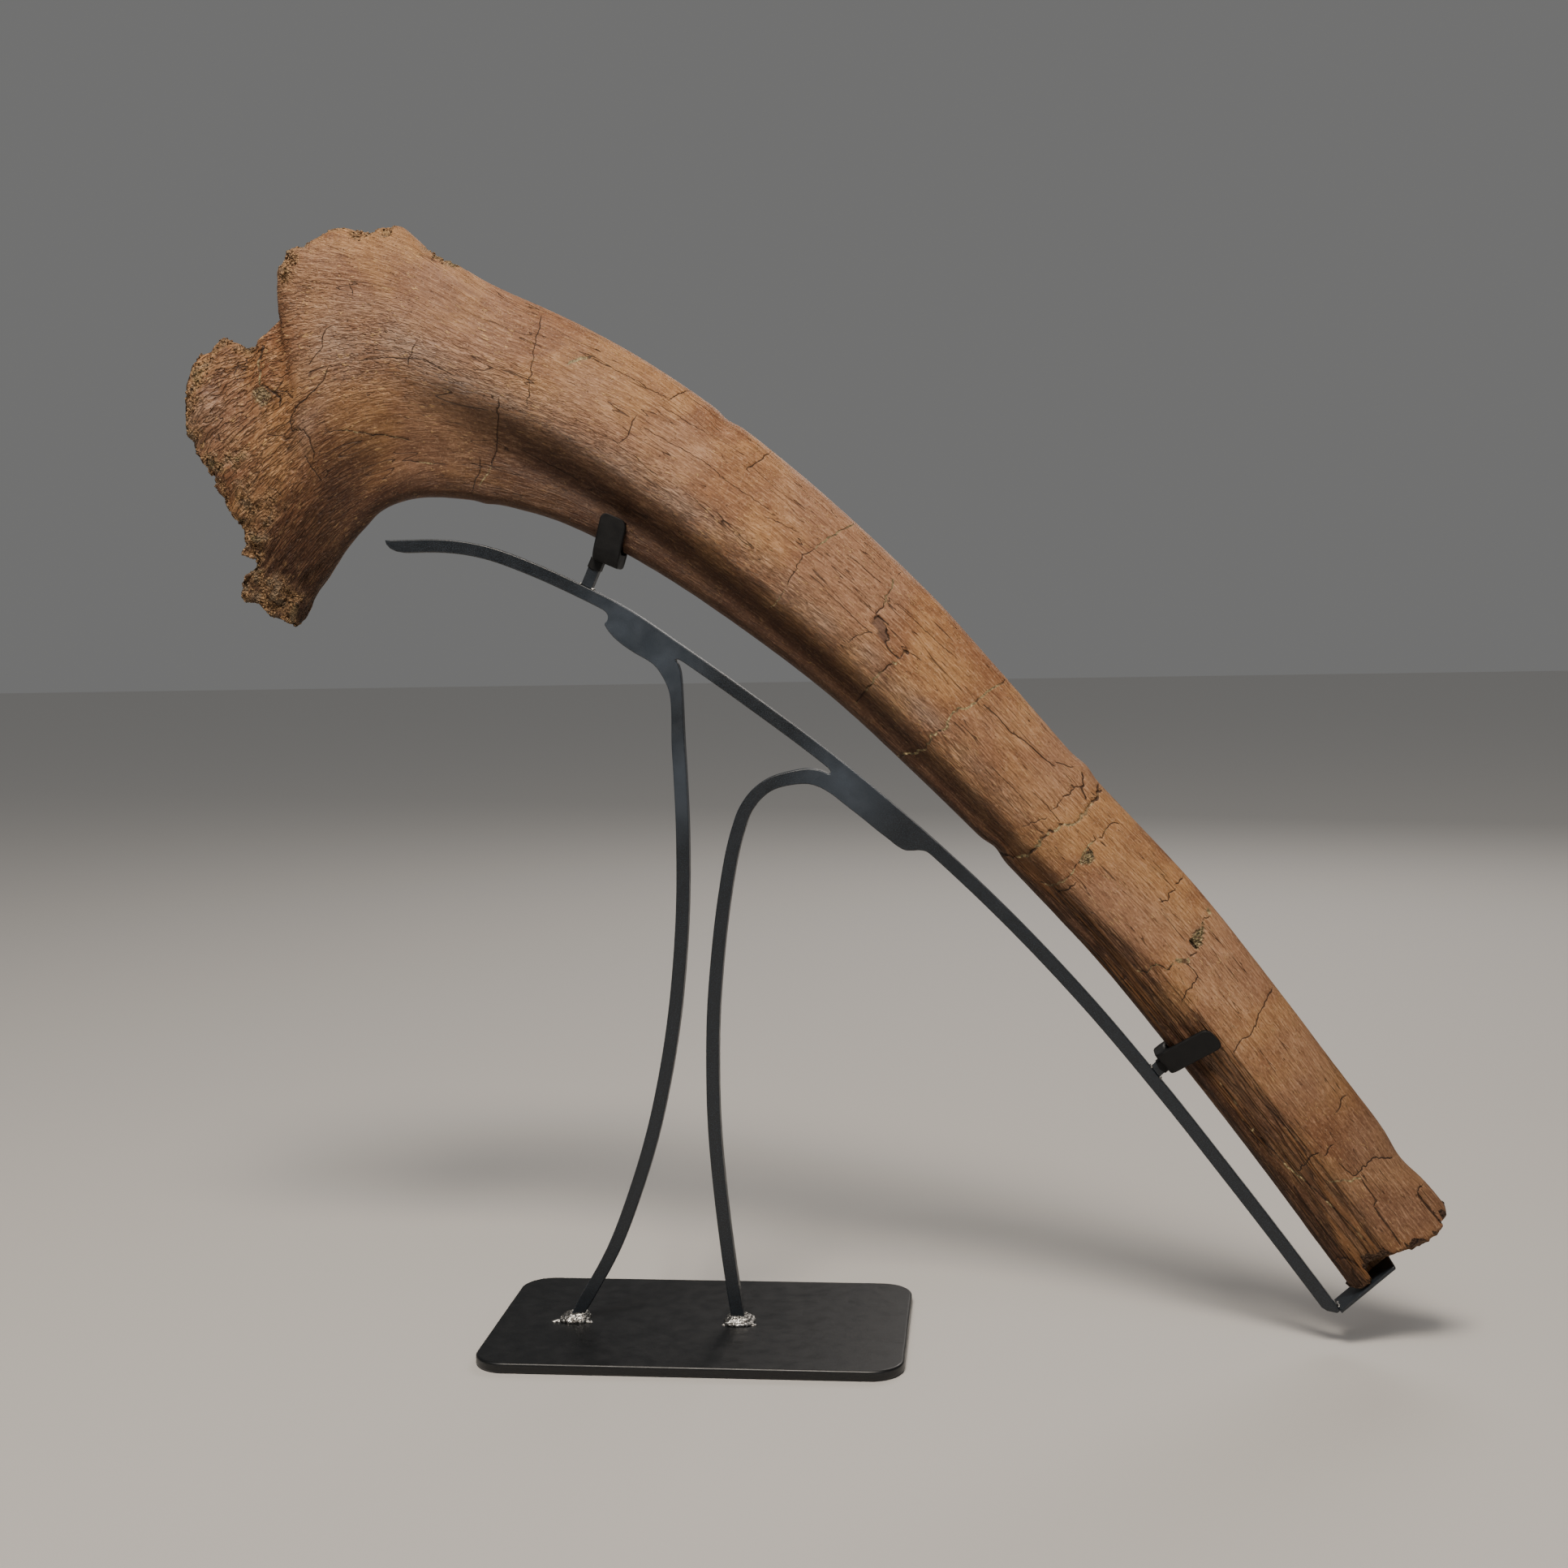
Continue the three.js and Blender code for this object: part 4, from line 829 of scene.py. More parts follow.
def ribRelief(points, width, along, across, side, grainAlong, turn, paths):
    # how far each point moves out along its normal, and the fields that the material reads
    x, y, z = points.T
    front, isCap = np.clip(side, 0, 1), side < -0.25
    around = np.abs(turn) * rib["meanWidth"] / 2 + np.where(front > 0.5, 0, 300)
    headShare = 1 - ease(along / 130)
    edgeRagged = 0.7 + 0.5 * lumps(x / 5, z / 5)
    sponge = np.clip(patchMask(spongePatches, along, across) * edgeRagged * 2.2 - 0.75, 0, 1)
    sponge[isCap] = 1
    fibres, wrinkles, leather, ridges = (
        grainRelief(name, grainAlong, around) for name in ("fibres", "wrinkles", "leather", "ridges")
    )
    strip = ease((along - 560) / 120) * (1 - ease((across - np.interp(along, *stripLine.T)) / 0.08))
    crumble = (
        1.1 * lumps(x / 7 + y / 9, z / 6) + lumps(x / 3.4 + y / 5, z / 3.4)
        + 0.7 * lumps(x / 1.7, z / 1.7 + y / 2.5) + 0.4 * lumps(x / 0.9, z / 0.9 + y)
    )
    flat = points[:, (0, 2)]
    near, away, half, deep, fill = crackFields(flat, side > 0.5, paths)
    inChip, chipDeep, chipFill = chipFields(flat, side > 0.5)
    lip = rib["crackLip"] * deep * (away > 0) * np.exp(-np.clip(near, 0, farAway) / 1.2)
    cut = 0.6 * deep * np.exp(-((away / (half + 0.15)) ** 2)) * (1 - 0.7 * fill)
    calm = 1 - 0.8 * sponge
    relief = calm * (
        rib["fibreRelief"] * fibres * mix(0.7, 1.2, lumps(grainAlong / 60, around / 30) * 0.5 + 0.5)
        + rib["leatherRelief"] * leather * (1 - ease((along - 20) / 60))
        + rib["wrinkleRelief"] * wrinkles * headShare
        + rib["ridgeRelief"] * ridges * strip
    )
    relief = relief + sponge * rib["crumbRelief"] * (crumble - 0.5) - cut - lip
    relief = relief - inChip * (chipDeep - 0.25 * chipFill * crumble)
    relief = relief + swellHeight(headLobes, along, across) * front
    rimFade = ease(np.minimum(across, 1 - across) * width / 2.5)
    relief = relief * np.where(isCap, 1, mix(0.35, 1, np.maximum(rimFade, sponge)))
    # partly wear, and partly a painted sheen where the saddle and the crest catch the light
    worn = patchMask(polishAndSheenPatches, along, across) * (0.75 + 0.5 * lumps(x / 14, z / 14))
    polishAndSheen = np.clip(worn, 0, 1) * front
    crestAt = np.interp(along, *crestLine.T)
    onCrest = np.exp(-(((across - crestAt - 0.08) / 0.16) ** 2)) * ease((along - 60) / 60)
    onCrest = onCrest * (1 - ease((along - 560) / 120))
    return relief, {
        "crackAway": away, "crackHalf": half, "crackNear": np.clip(1 - near / 1.3, 0, 1), "silt": fill,
        "chip": inChip, "chipSilt": inChip * chipFill, "sponge": sponge, "polishAndSheen": polishAndSheen * (1 - sponge),
        "shade": ribShade(x, z, width, along, across, crestAt) * front, "fluted": strip * front,
        "wrinkled": np.clip(np.maximum(headShare * 1.2, 0.8 * onCrest), 0, 1),
        "head": 1 - ease((along - 90) / 120), "hollow": np.where(isCap & (along > 100), 1.0, 0.0),
    }


boneLook = {
    # the strip tone is the dark brown that the painted shade is painted in
    "tan": "#b38659", "redBrown": "#946745", "pinkTan": "#a98266", "paintedSheen": "#ac927f", "strip": "#3a1e09",
    "streakDark": "#c4b8af", "headStreakDark": "#ac9b8e", "flute": "#80562f", "slit": "#2e1a0d",
    "fleck": "#e2b87e", "pale": "#c3a183", "crumbLight": "#b8936a", "crumbDark": "#523923",
    "crumbGrey": "#8c7d68", "olive": "#7c7250", "siltLight": "#c8b384", "silt": "#8a7c58",
    "siltDark": "#4c4630", "crackDark": "#2c1b10", "chipFloor": "#5f473a", "paintedHollowShade": "#1c120b",
    # noises drawn out along the grain: length and width in millimetres, detail, and what keeps them apart
    "streaks": {
        "fibre": (12, 1.6, 3.0, 0), "fine": (3.6, 0.8, 2.0, 130), "flute": (70, 5, 2.0, 640),
        "wrinkle": (10, 1.3, 2.0, 710), "split": (60, 5, 1.0, 300), "splitPlace": (60, 9, 1.0, 90),
        "slit": (6, 0.9, 2.0, 420), "dash": (4, 0.9, 1.0, 520), "pit": (2.2, 0.8, 1.0, 860),
    },
    "headStretch": (0.95, 0.42), "headShift": 40,  # the head's fibres against the shaft's
    # even noises: size in millimetres and detail
    "blotches": {
        "tone": (38, 3.0), "pink": (90, 1.0), "dust": (1.3, 2.0), "slitPlace": (16, 3.0),
        "dashPlace": (12, 3.0), "grit": (1.8, 2.0), "crumbTone": (7, 3.0), "oliveTone": (11, 3.0),
        "ragged": (0.9, 2.0), "siltPlace": (2.5, 3.0),
    },
    "streakRoughness": 0.6, "blotchRoughness": 0.55, "gritSize": 1.5, "bumpHeight": 1.1,
    "ior": 1.55, "specular": 0.34,  # pores swallow part of the reflection
}
boneFields = (
    "head", "shade", "polishAndSheen", "wrinkled", "fluted", "sponge", "hollow", "chip", "chipSilt", "silt",
    "crackAway", "crackHalf", "crackNear",
)


def boneMaterial():
    # permineralised bone: dense brown stone with fine fibres along the shaft, a soft sheen where the
    # outer skin is whole, and gritty sponge where it is broken
    material, add = newMaterial("permineralised_bone")
    look = boneLook
    place, grain = add("place"), add("track", attribute_name="grain")
    field = {name: add("field", attribute_name=name) for name in boneFields}
    blotch = {name: add("noise", place, 1 / (size * mm), detail, look["blotchRoughness"])
              for name, (size, detail) in look["blotches"].items()}

    def drawnOut(length, width, detail, shift):
        # a noise that is long along the grain and narrow across it
        moved = add("move", grain, (shift, shift, shift))
        stretched = add("stretch", moved, (1 / length, 1 / width, 1 / width))
        return add("noise", stretched, 1.0, detail, look["streakRoughness"])

    streak = {name: drawnOut(*sizes) for name, sizes in look["streaks"].items()}
    for name in ("fibre", "fine"):
        # the fan of the head spreads the grain, so it is drawn there at under half the width
        length, width, detail, shift = look["streaks"][name]
        longer, wider = look["headStretch"]
        onHead = drawnOut(length * longer, width * wider, detail, shift + look["headShift"])
        streak[name] = add("mixValue", field["head"], streak[name], onHead)
    # 0 on the thin lines where a noise crosses its middle value
    fold = {name: add("unsigned", add("subtract", streak[name], 0.5)) for name in ("wrinkle", "split", "flute")}
    whole = add("subtract", 1.0, field["sponge"])
    # the light left after the painted shade: pale streaks, dust and flecks are painted fainter where shade is
    # painted
    lit = add("subtract", 1.0, add("multiply", field["shade"], 0.7))

    # the tones of the sound bone
    colour = add("mix", add("softFade", blotch["tone"], 0.4, 0.62), look["redBrown"], look["tan"])
    pinkPatches = add("multiply", add("softFade", blotch["pink"], 0.45, 0.6), 0.6)
    colour = add("mix", pinkPatches, colour, look["pinkTan"])
    # painted sheen: the worn patches are painted a lighter, greyer tone
    colour = add("mix", add("multiply", field["polishAndSheen"], 0.65), colour, look["paintedSheen"])
    # painted shade: the front is painted dark brown where it turns from the light
    colour = add("mix", add("multiply", field["shade"], 0.92), colour, look["strip"])
    streakTone = add("add", add("multiply", streak["fibre"], 0.7), add("multiply", streak["fine"], 0.5))
    streakDark = add("mix", field["head"], look["streakDark"], look["headStreakDark"])
    streakTint = add("mix", add("softFade", streakTone, 0.42, 0.74), streakDark, "#ffffff")
    colour = add("tint", 1.0, colour, streakTint)
    paleStreaks = add("multiply", add("softFade", streakTone, 0.64, 0.8), 0.4, lit)
    colour = add("mix", paleStreaks, colour, look["pale"])
    dust = add("multiply", add("softFade", blotch["dust"], 0.52, 0.7), 0.3, whole, lit)
    colour = add("mix", dust, colour, look["pale"])

    # the flutes of the lower blade, the wrinkles, slits, splits and pits, and pale flecks
    # the flutes' raised tops are painted golden: partly the bone's tone, partly a painted highlight on the
    # ridges
    fluteTop = add("multiply", add("softFade", streak["flute"], 0.5, 0.66), field["fluted"])
    fluteCut = add("multiply", add("softFade", fold["flute"], 0.035, 0.005), field["fluted"])
    wrinkles = add("multiply", add("softFade", fold["wrinkle"], 0.045, 0.0), field["wrinkled"], whole)
    slitPlace = add("softFade", blotch["slitPlace"], 0.42, 0.62)
    slits = add("multiply", add("softFade", streak["slit"], 0.33, 0.27), slitPlace, 0.7)
    splitPlace = add("softFade", streak["splitPlace"], 0.5, 0.58)
    splits = add("multiply", add("softFade", fold["split"], 0.009, 0.003), splitPlace, whole)
    pits = add("multiply", add("softFade", streak["pit"], 0.29, 0.23), whole)
    slitsAndPits = add("larger", slits, pits)
    dashPlace = add("softFade", blotch["dashPlace"], 0.4, 0.6)
    flecks = add("multiply", add("softFade", streak["dash"], 0.63, 0.7), dashPlace)
    for mask, strength, tone in (
        (fluteTop, 0.5, "flute"), (fluteCut, 0.5, "slit"), (wrinkles, 0.55, "slit"),
        (slitsAndPits, 0.6, "slit"), (splits, 0.7, "slit"),
    ):
        colour = add("mix", add("multiply", mask, strength), colour, look[tone])
    colour = add("mix", add("multiply", flecks, 0.5, lit), colour, look["fleck"])

    # crumbled edges, chips, silt and cracks
    grit = blotch["grit"]
    crumbColour = add("mix", add("softFade", grit, 0.38, 0.62), look["crumbDark"], look["crumbLight"])
    for name, low, high, tone in (("crumbTone", 0.5, 0.62, "crumbGrey"), ("oliveTone", 0.55, 0.66, "olive")):
        share = add("multiply", add("softFade", blotch[name], low, high), 0.6)
        crumbColour = add("mix", share, crumbColour, look[tone])
    # painted shade: the tip's sunk broken face is painted near black
    crumbColour = add("mix", field["hollow"], crumbColour, look["paintedHollowShade"])
    colour = add("mix", add("multiply", field["sponge"], 0.85), colour, crumbColour)
    colour = add("mix", add("multiply", field["chip"], 0.8), colour, look["chipFloor"])
    siltColour = add("mix", add("softFade", grit, 0.36, 0.5), look["siltDark"], look["silt"])
    siltColour = add("mix", add("softFade", grit, 0.55, 0.66), siltColour, look["siltLight"])
    ragged = add("multiply", add("subtract", blotch["ragged"], 0.5), 0.5)
    away = add("add", add("unsigned", field["crackAway"]), ragged)
    inside = add("subtract", add("multiply", field["crackHalf"], 0.85), away)
    nearCrack = add("softFade", field["crackNear"], 0.02, 0.3)
    cracksSeen = add("multiply", add("softFade", inside, -0.1, 0.08), nearCrack)
    cracksSeen = add("multiply", cracksSeen, add("subtract", 1.0, field["silt"]))
    siltInCracks = add("multiply", add("softFade", inside, -0.35, 0.05), nearCrack, field["silt"])
    siltInChips = add("multiply", field["chipSilt"], add("softFade", blotch["siltPlace"], 0.3, 0.45))
    siltSeen = add("larger", siltInCracks, siltInChips)
    colour = add("mix", add("multiply", siltSeen, 0.9), colour, siltColour)
    colour = add("mix", add("multiply", cracksSeen, 0.85), colour, look["crackDark"])

    # the fine relief, and how soft the shine is
    relief = add("add", add("multiply", streak["fibre"], 0.55), add("multiply", streak["fine"], 0.35))
    wrinkleHeight = add("multiply", add("softFade", fold["wrinkle"], 0.0, 0.09), field["wrinkled"], 0.9)
    relief = add("add", relief, wrinkleHeight)
    relief = add("add", relief, add("multiply", flecks, 0.3))
    relief = add("add", relief, add("multiply", add("subtract", fluteTop, fluteCut), 1.4))
    relief = add("subtract", relief, add("multiply", slitsAndPits, 0.7))
    relief = add("subtract", relief, add("multiply", add("larger", splits, cracksSeen), 0.8))
    grains = add("subtract", grit, add("cells", place, 1 / (look["gritSize"] * mm)))
    gritty = add("larger", field["sponge"], field["chipSilt"])
    relief = add("add", relief, add("multiply", grains, gritty, 2.2))
    bump = add("bump", relief, 1.0, look["bumpHeight"] * mm)
    gloss = add("subtract", 0.6, add("multiply", field["polishAndSheen"], 0.16))
    gloss = add("add", gloss, add("multiply", field["sponge"], 0.25))
    gloss = add("add", gloss, add("multiply", add("subtract", streak["fine"], 0.5), 0.25))
    return finishMaterial(material, {
        "Base Color": colour, "Roughness": gloss, "Normal": bump, "IOR": look["ior"],
        "Specular IOR Level": look["specular"],
    })


# grains per square millimetre, their radii in millimetres, and where the crumbled field starts to bear them
crumbs = {
    "density": 0.2, "small": 0.4, "large": 1.15, "from": 0.35, "seed": 5,
    "squeeze": ((0.6, 0.6, 0.6), (1.4, 1.4, 1.2)), "squeezeSeed": 3,  # how uneven a grain may be
}


def crumbTree(material):
    # grains of bone scattered over the crumbled places of a mesh
    tree, keys = newTree("bone_crumbs", "Density", "Small", "Large", "Seed")
    add = partial(wire, tree)
    given = addNode(tree, "NodeGroupInput").outputs
    crumbled = add("fade", add("storedField", "sponge"), crumbs["from"])
    density = add("multiply", crumbled, add("storedField", "head"), given["Density"])
    mesh, seed = given["Geometry"], given["Seed"]
    spots = addNode(tree, "GeometryNodeDistributePointsOnFaces", {"Mesh": mesh, "Density": density,
                                                                  "Seed": seed}).outputs
    size = addNode(tree, "FunctionNodeRandomValue", {2: given["Small"], 3: given["Large"], "Seed": seed},
                   data_type="FLOAT").outputs[1]
    least, most = crumbs["squeeze"]
    squeeze = addNode(tree, "FunctionNodeRandomValue", {0: least, 1: most, "Seed": crumbs["squeezeSeed"]},
                      data_type="FLOAT_VECTOR").outputs[0]
    scale = addNode(tree, "ShaderNodeVectorMath", {0: squeeze, "Scale": size}, operation="SCALE").outputs[0]
    grain = addNode(tree, "GeometryNodeMeshIcoSphere", {"Radius": 1.0, "Subdivisions": 1}).outputs["Mesh"]
    placed = addNode(tree, "GeometryNodeInstanceOnPoints", {"Points": spots["Points"], "Instance": grain,
                                                            "Rotation": spots["Rotation"], "Scale": scale})
    whole = addNode(tree, "GeometryNodeRealizeInstances", {"Geometry": placed.outputs[0]})
    # the grains take the bone's crumbled look
    crumbly = addNode(tree, "GeometryNodeStoreNamedAttribute",
                      {"Geometry": whole.outputs[0], "Name": "sponge", "Value": 1.0},
                      data_type="FLOAT", domain="POINT")
    finish = addNode(tree, "GeometryNodeSetMaterial", {"Geometry": crumbly.outputs[0], "Material": material})
    addNode(tree, "NodeGroupOutput", {0: finish.outputs[0]})
    return tree, keys


def buildCrumbs(material):
    tree, keys = crumbTree(material)
    grains = runTree(newObject("bone_crumbs", ribObject.data.copy()), tree, keys, {
        "Density": crumbs["density"] / mm ** 2, "Small": crumbs["small"] * mm, "Large": crumbs["large"] * mm,
        "Seed": crumbs["seed"],
    })
    low, high = (np.array(corner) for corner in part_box("rib"))
    writePoints(grains.data, np.clip(readPoints(grains.data), low, high))
    grains.data.shade_smooth()
    print("crumbs:", len(grains.data.vertices), "points")
    return grains


ribObject = buildRib()
bone = boneMaterial()
ribObject.data.materials.append(bone)
finishPiece(ribObject, "fossil_bone", "rib")
finishPiece(buildCrumbs(bone), "fossil_bone")


# the stand: square bar, bent, seam welded and ground flush where the legs meet the spine

stand = {
    "bar": 7.9, "edge": 0.8, "edgeSteps": 3, "tipLength": 16,
    "spine": [  # its upper edge, x and z in millimetres
        (-183, 488), (-145, 487.5), (-120, 483), (-93, 473), (-65, 460), (-36, 444.5), (-4.5, 422.8),
        (36.5, 393.2), (87.5, 354.3), (142.5, 307), (193, 258.3), (241, 206), (286, 151), (316, 112), (347, 71),
        (383.5, 21.5),
    ],
    "leftLeg": [  # centre lines, from the foot up
        (-79.6, 6.35), (-71.5, 20), (-54, 51), (-39.2, 88), (-27.6, 124.5), (-19, 161), (-12.7, 197),
        (-8.5, 233), (-6, 268), (-5.2, 310), (-5.8, 339), (-7.2, 374),
    ],
    "rightLeg": [
        (23.4, 6.35), (21.2, 20), (17.1, 51), (13.3, 88), (10.7, 124), (10.1, 155), (11.2, 196), (14.4, 232),
        (19.1, 267), (26.2, 302.6), (34.3, 324.5), (43.3, 334.5), (53.6, 340), (62, 342),
    ],
    # the outlines of the spine's two ends, from its upper edge's end and its start
    "lowEnd": ((-2, -1.6), (-7.9, -0.4)), "highEnd": ((11.4, -7.8), (6.9, -7), (2.9, -5), (0.7, -2.5)),
    # where each ground joint starts and stops along the spine
    "leftSpan": (139, 207), "rightSpan": (306, 392),
    # the ground joints: distance along the spine, and depth under its upper edge
    "leftPaddle": [
        (206.3, 28.4), (196.7, 22.2), (188.2, 19.4), (174.6, 20.2), (166, 20.2), (157.9, 19.1), (151.5, 16.8),
        (148.7, 14.8), (149.2, 12.4), (148.3, 9.8), (145.4, 8.2), (140.8, 7.9),
    ],
    "leftCrotch": [(207.5, 17.5), (204, 13.6), (200.6, 10.9), (198, 9.7), (198.6, 8.5), (201.6, 8), (206, 7.9)],
    "rightPaddle": [
        (305.4, 24), (312.4, 20.6), (320.8, 19.1), (332.6, 18.8), (344.7, 18.4), (356.6, 18.2), (366, 17.7),
        (372.2, 17.4), (377.4, 16.2), (381, 13.4), (384.2, 10.3), (387.4, 8.4), (391, 7.9),
    ],
    "rightCrotch": [
        (299.6, 16.7), (304, 13.6), (308.4, 11.7), (312.4, 10.6), (313.4, 9.4), (311.5, 8.2), (307, 7.9),
    ],
}


def smoothLine(points, perSpan=10):
    # a dense centripetal line through the points
    points = np.asarray(points, float)
    padded = np.vstack([2 * points[0] - points[1], points, 2 * points[-1] - points[-2]])
    dense, share = [], np.arange(perSpan)[:, None] / perSpan
    for p0, p1, p2, p3 in zip(padded, padded[1:], padded[2:], padded[3:]):
        g0, g1, g2 = (np.linalg.norm(b - a) ** 0.5 for a, b in ((p0, p1), (p1, p2), (p2, p3)))
        slopeA = ((p1 - p0) / g0 - (p2 - p0) / (g0 + g1) + (p2 - p1) / g1) * g1
        slopeB = ((p2 - p1) / g1 - (p3 - p1) / (g1 + g2) + (p3 - p2) / g2) * g1
        dense.append(hermite(p1, p2, slopeA, slopeB, share))
    return np.vstack(dense + [points[-1:]])


def alongLine(line, distance, side=0.0):
    # points at distances along a line, moved to its left by side, and the directions there
    lengths = lineLengths(line)
    slope = np.gradient(line, lengths, axis=0)
    place = np.stack([np.interp(distance, lengths, line[:, k]) for k in (0, 1)], -1)
    way = np.stack([np.interp(distance, lengths, slope[:, k]) for k in (0, 1)], -1)
    way = way / np.linalg.norm(way, axis=-1, keepdims=True)
    return place + np.asarray(side)[..., None] * np.stack([-way[..., 1], way[..., 0]], -1), way


spineLine = smoothLine(stand["spine"], 40)
spineLength = lineLengths(spineLine)[-1]


def underSpine(table):
    distance, depth = np.array(table, float).T
    return alongLine(spineLine, distance, -depth)[0]


def legSide(points, side, joint):
    # one side of a leg from its foot, carried on into the ground joint
    line = smoothLine(points)
    marks = np.linspace(0, lineLengths(line)[-1], 30)
    edge = alongLine(line, marks, np.full(len(marks), side))[0]
    edge[0, 1] = points[0][1]
    return smoothLine(np.vstack([edge[:-1], underSpine(joint)]), 8)


def frameOutline():
    bar = stand["bar"]

    def underside(start, stop, count):
        return underSpine([(distance, bar) for distance in np.linspace(start, stop, count)])

    upper = alongLine(spineLine, np.linspace(0, spineLength, 240))[0]
    leftStart, leftStop = stand["leftSpan"]
    rightStart, rightStop = stand["rightSpan"]
    # each leg's side by its ground joint, and its side by the crotch
    rightOuter, rightInner = (legSide(stand["rightLeg"], side * bar / 2, stand[joint])
                              for side, joint in ((-1, "rightPaddle"), (1, "rightCrotch")))
    leftOuter, leftInner = (legSide(stand["leftLeg"], side * bar / 2, stand[joint])
                            for side, joint in ((1, "leftPaddle"), (-1, "leftCrotch")))
    return np.vstack([
        upper, upper[-1] + stand["lowEnd"], underside(spineLength - bar, rightStop, 110),
        rightOuter[::-1], rightInner, underside(rightStart, leftStop, 40),
        leftInner[::-1], leftOuter, underside(leftStart, stand["tipLength"], 50),
        np.array(stand["spine"][0]) + stand["highEnd"],
    ])


def insetOutline(outline, distance):
    ahead = np.roll(outline, -1, 0) - outline
    ahead = ahead / np.linalg.norm(ahead, axis=1, keepdims=True)
    behind = np.roll(ahead, 1, 0)
    left = np.stack([-(ahead + behind)[:, 1], (ahead + behind)[:, 0]], 1)
    spread = 1 + (ahead * behind).sum(1)
    x, y = outline.T
    turn = np.sign((x * np.roll(y, -1) - y * np.roll(x, -1)).sum())
    return outline + turn * distance * left / np.maximum(spread, 0.6)[:, None]


leastEdge = 0.02  # corners nearer to each other are one


def roundedSlab(name, outline, depth, edge, steps, place):
    # an outline given thickness, its edges rounded, and set in place by a function of its three axes
    outline = outline[np.linalg.norm(np.roll(outline, -1, 0) - outline, axis=1) > leastEdge]
    turns = [math.pi / 2 * k / steps for k in range(steps + 1)]
    rings = [(edge * (1 - math.cos(a)), depth / 2 - edge + edge * math.sin(a)) for a in turns]
    rings = rings[::-1] + [(inset, -side) for inset, side in rings]
    count = len(outline)
    flats = [np.column_stack([insetOutline(outline, inset), np.full(count, side)]) for inset, side in rings]
    points = place(np.vstack(flats))
    faces = [tuple(range(count)), tuple(range((len(rings) - 1) * count, len(rings) * count))[::-1]]
    for ring in range(len(rings) - 1):
        for k in range(count):
            a, b = ring * count + k, ring * count + (k + 1) % count
            faces.append((a, a + count, b + count, b))
    return closedPiece(name, points, faces)


def closedPiece(name, points, faces):
    mesh = newMesh(name, points * mm, faces)
    shape = bmesh.new()
    shape.from_mesh(mesh)
    bmesh.ops.remove_doubles(shape, verts=shape.verts, dist=1e-6)
    bmesh.ops.recalc_face_normals(shape, faces=shape.faces)
    shape.to_mesh(mesh)
    shape.free()
    mesh.shade_smooth()
    piece = newObject(name, mesh)
    piece.modifiers.new("even_shading", "WEIGHTED_NORMAL").weight = 100
    return applyModifiers(piece)


def buildFrame():
    return roundedSlab("welded_frame", frameOutline(), stand["bar"], stand["edge"], stand["edgeSteps"],
                       upright)


plate = {
    "length": 254, "depth": 152.4, "thick": 6.35, "corner": 20, "edge": 1.6, "edgeSteps": 4, "cornerSteps": 24,
}


def roundedRectangle(width, height, corner, steps):
    outline = []
    for quarter, (sideX, sideY) in enumerate(((1, 1), (-1, 1), (-1, -1), (1, -1))):
        for k in range(steps + 1):
            a = math.pi / 2 * (quarter + k / steps)
            outline.append((sideX * (width / 2 - corner) + corner * math.cos(a),
                            sideY * (height / 2 - corner) + corner * math.sin(a)))
    return np.array(outline)


def buildPlate():
    outline = roundedRectangle(plate["length"], plate["depth"], plate["corner"], plate["cornerSteps"])
    thick = plate["thick"]
    return roundedSlab("base_slab", outline, thick, plate["edge"], plate["edgeSteps"],
                       lambda p: p + [0, 0, thick / 2])


# the two dipped cradles on their posts, in millimetres and degrees. at and tilt place and lean the post,
# seat is the pad's place on the rib's edge, slope the edge's fall there and lean the pad's own lean; web is
# its thickness under the edge, reach its fingers' height, front and back their inner depths, and dip how
# far the rubber runs down the post
cradles = {
    "skin": 4, "edge": 1.3, "edgeSteps": 4, "corner": 4.5, "stub": 7, "stubEdge": 0.6, "sleeve": 0.55,
    "sleeveEdge": 0.7, "sag": 0.9, "gap": 0.3,
    "upper": {"at": 0.17, "tilt": 2.4, "seat": (-45.1, 480.85), "slope": 24, "lean": 14.5, "width": 16.8,
              "web": 10.5, "reach": 18.4, "front": (8.3, 8.5), "back": (9.2, 11.6), "dip": 5.4},
    "lower": {"at": 0.7633, "tilt": 3.4, "seat": (286.2, 174.2), "slope": 48, "lean": 57, "width": 14.6,
              "web": 8, "reach": 27.2, "front": (8.4, 16.3), "back": (9.2, 12), "dip": 2.6},
}


def postAxes(cradle):
    # the post's foot, the spine's direction there, the post's direction, and the direction to its side
    foot, along = alongLine(spineLine, np.array(cradle["at"] * spineLength))
    angle = math.atan2(along[0], -along[1]) + math.radians(cradle["tilt"])
    up, side = (math.cos(angle), math.sin(angle)), (math.sin(angle), -math.cos(angle))
    return foot, along, np.array(up), np.array(side)


def padAxes(cradle):
    lean, slope = math.radians(cradle["lean"]), math.radians(cradle["slope"])
    return np.array([math.sin(lean), math.cos(lean)]), np.array([math.cos(slope), -math.sin(slope)])


def postTop(cradle):
    # how high the pad's flat underside lies on the post's axis, and how much it climbs to the post's side
    foot, _, up, side = postAxes(cradle)
    padUp, padAlong = padAxes(cradle)
    out = np.array([-padAlong[1], padAlong[0]])
    under = np.array(cradle["seat"]) - padUp * cradle["web"] - foot
    return under @ out / (up @ out), -(side @ out) / (up @ out)


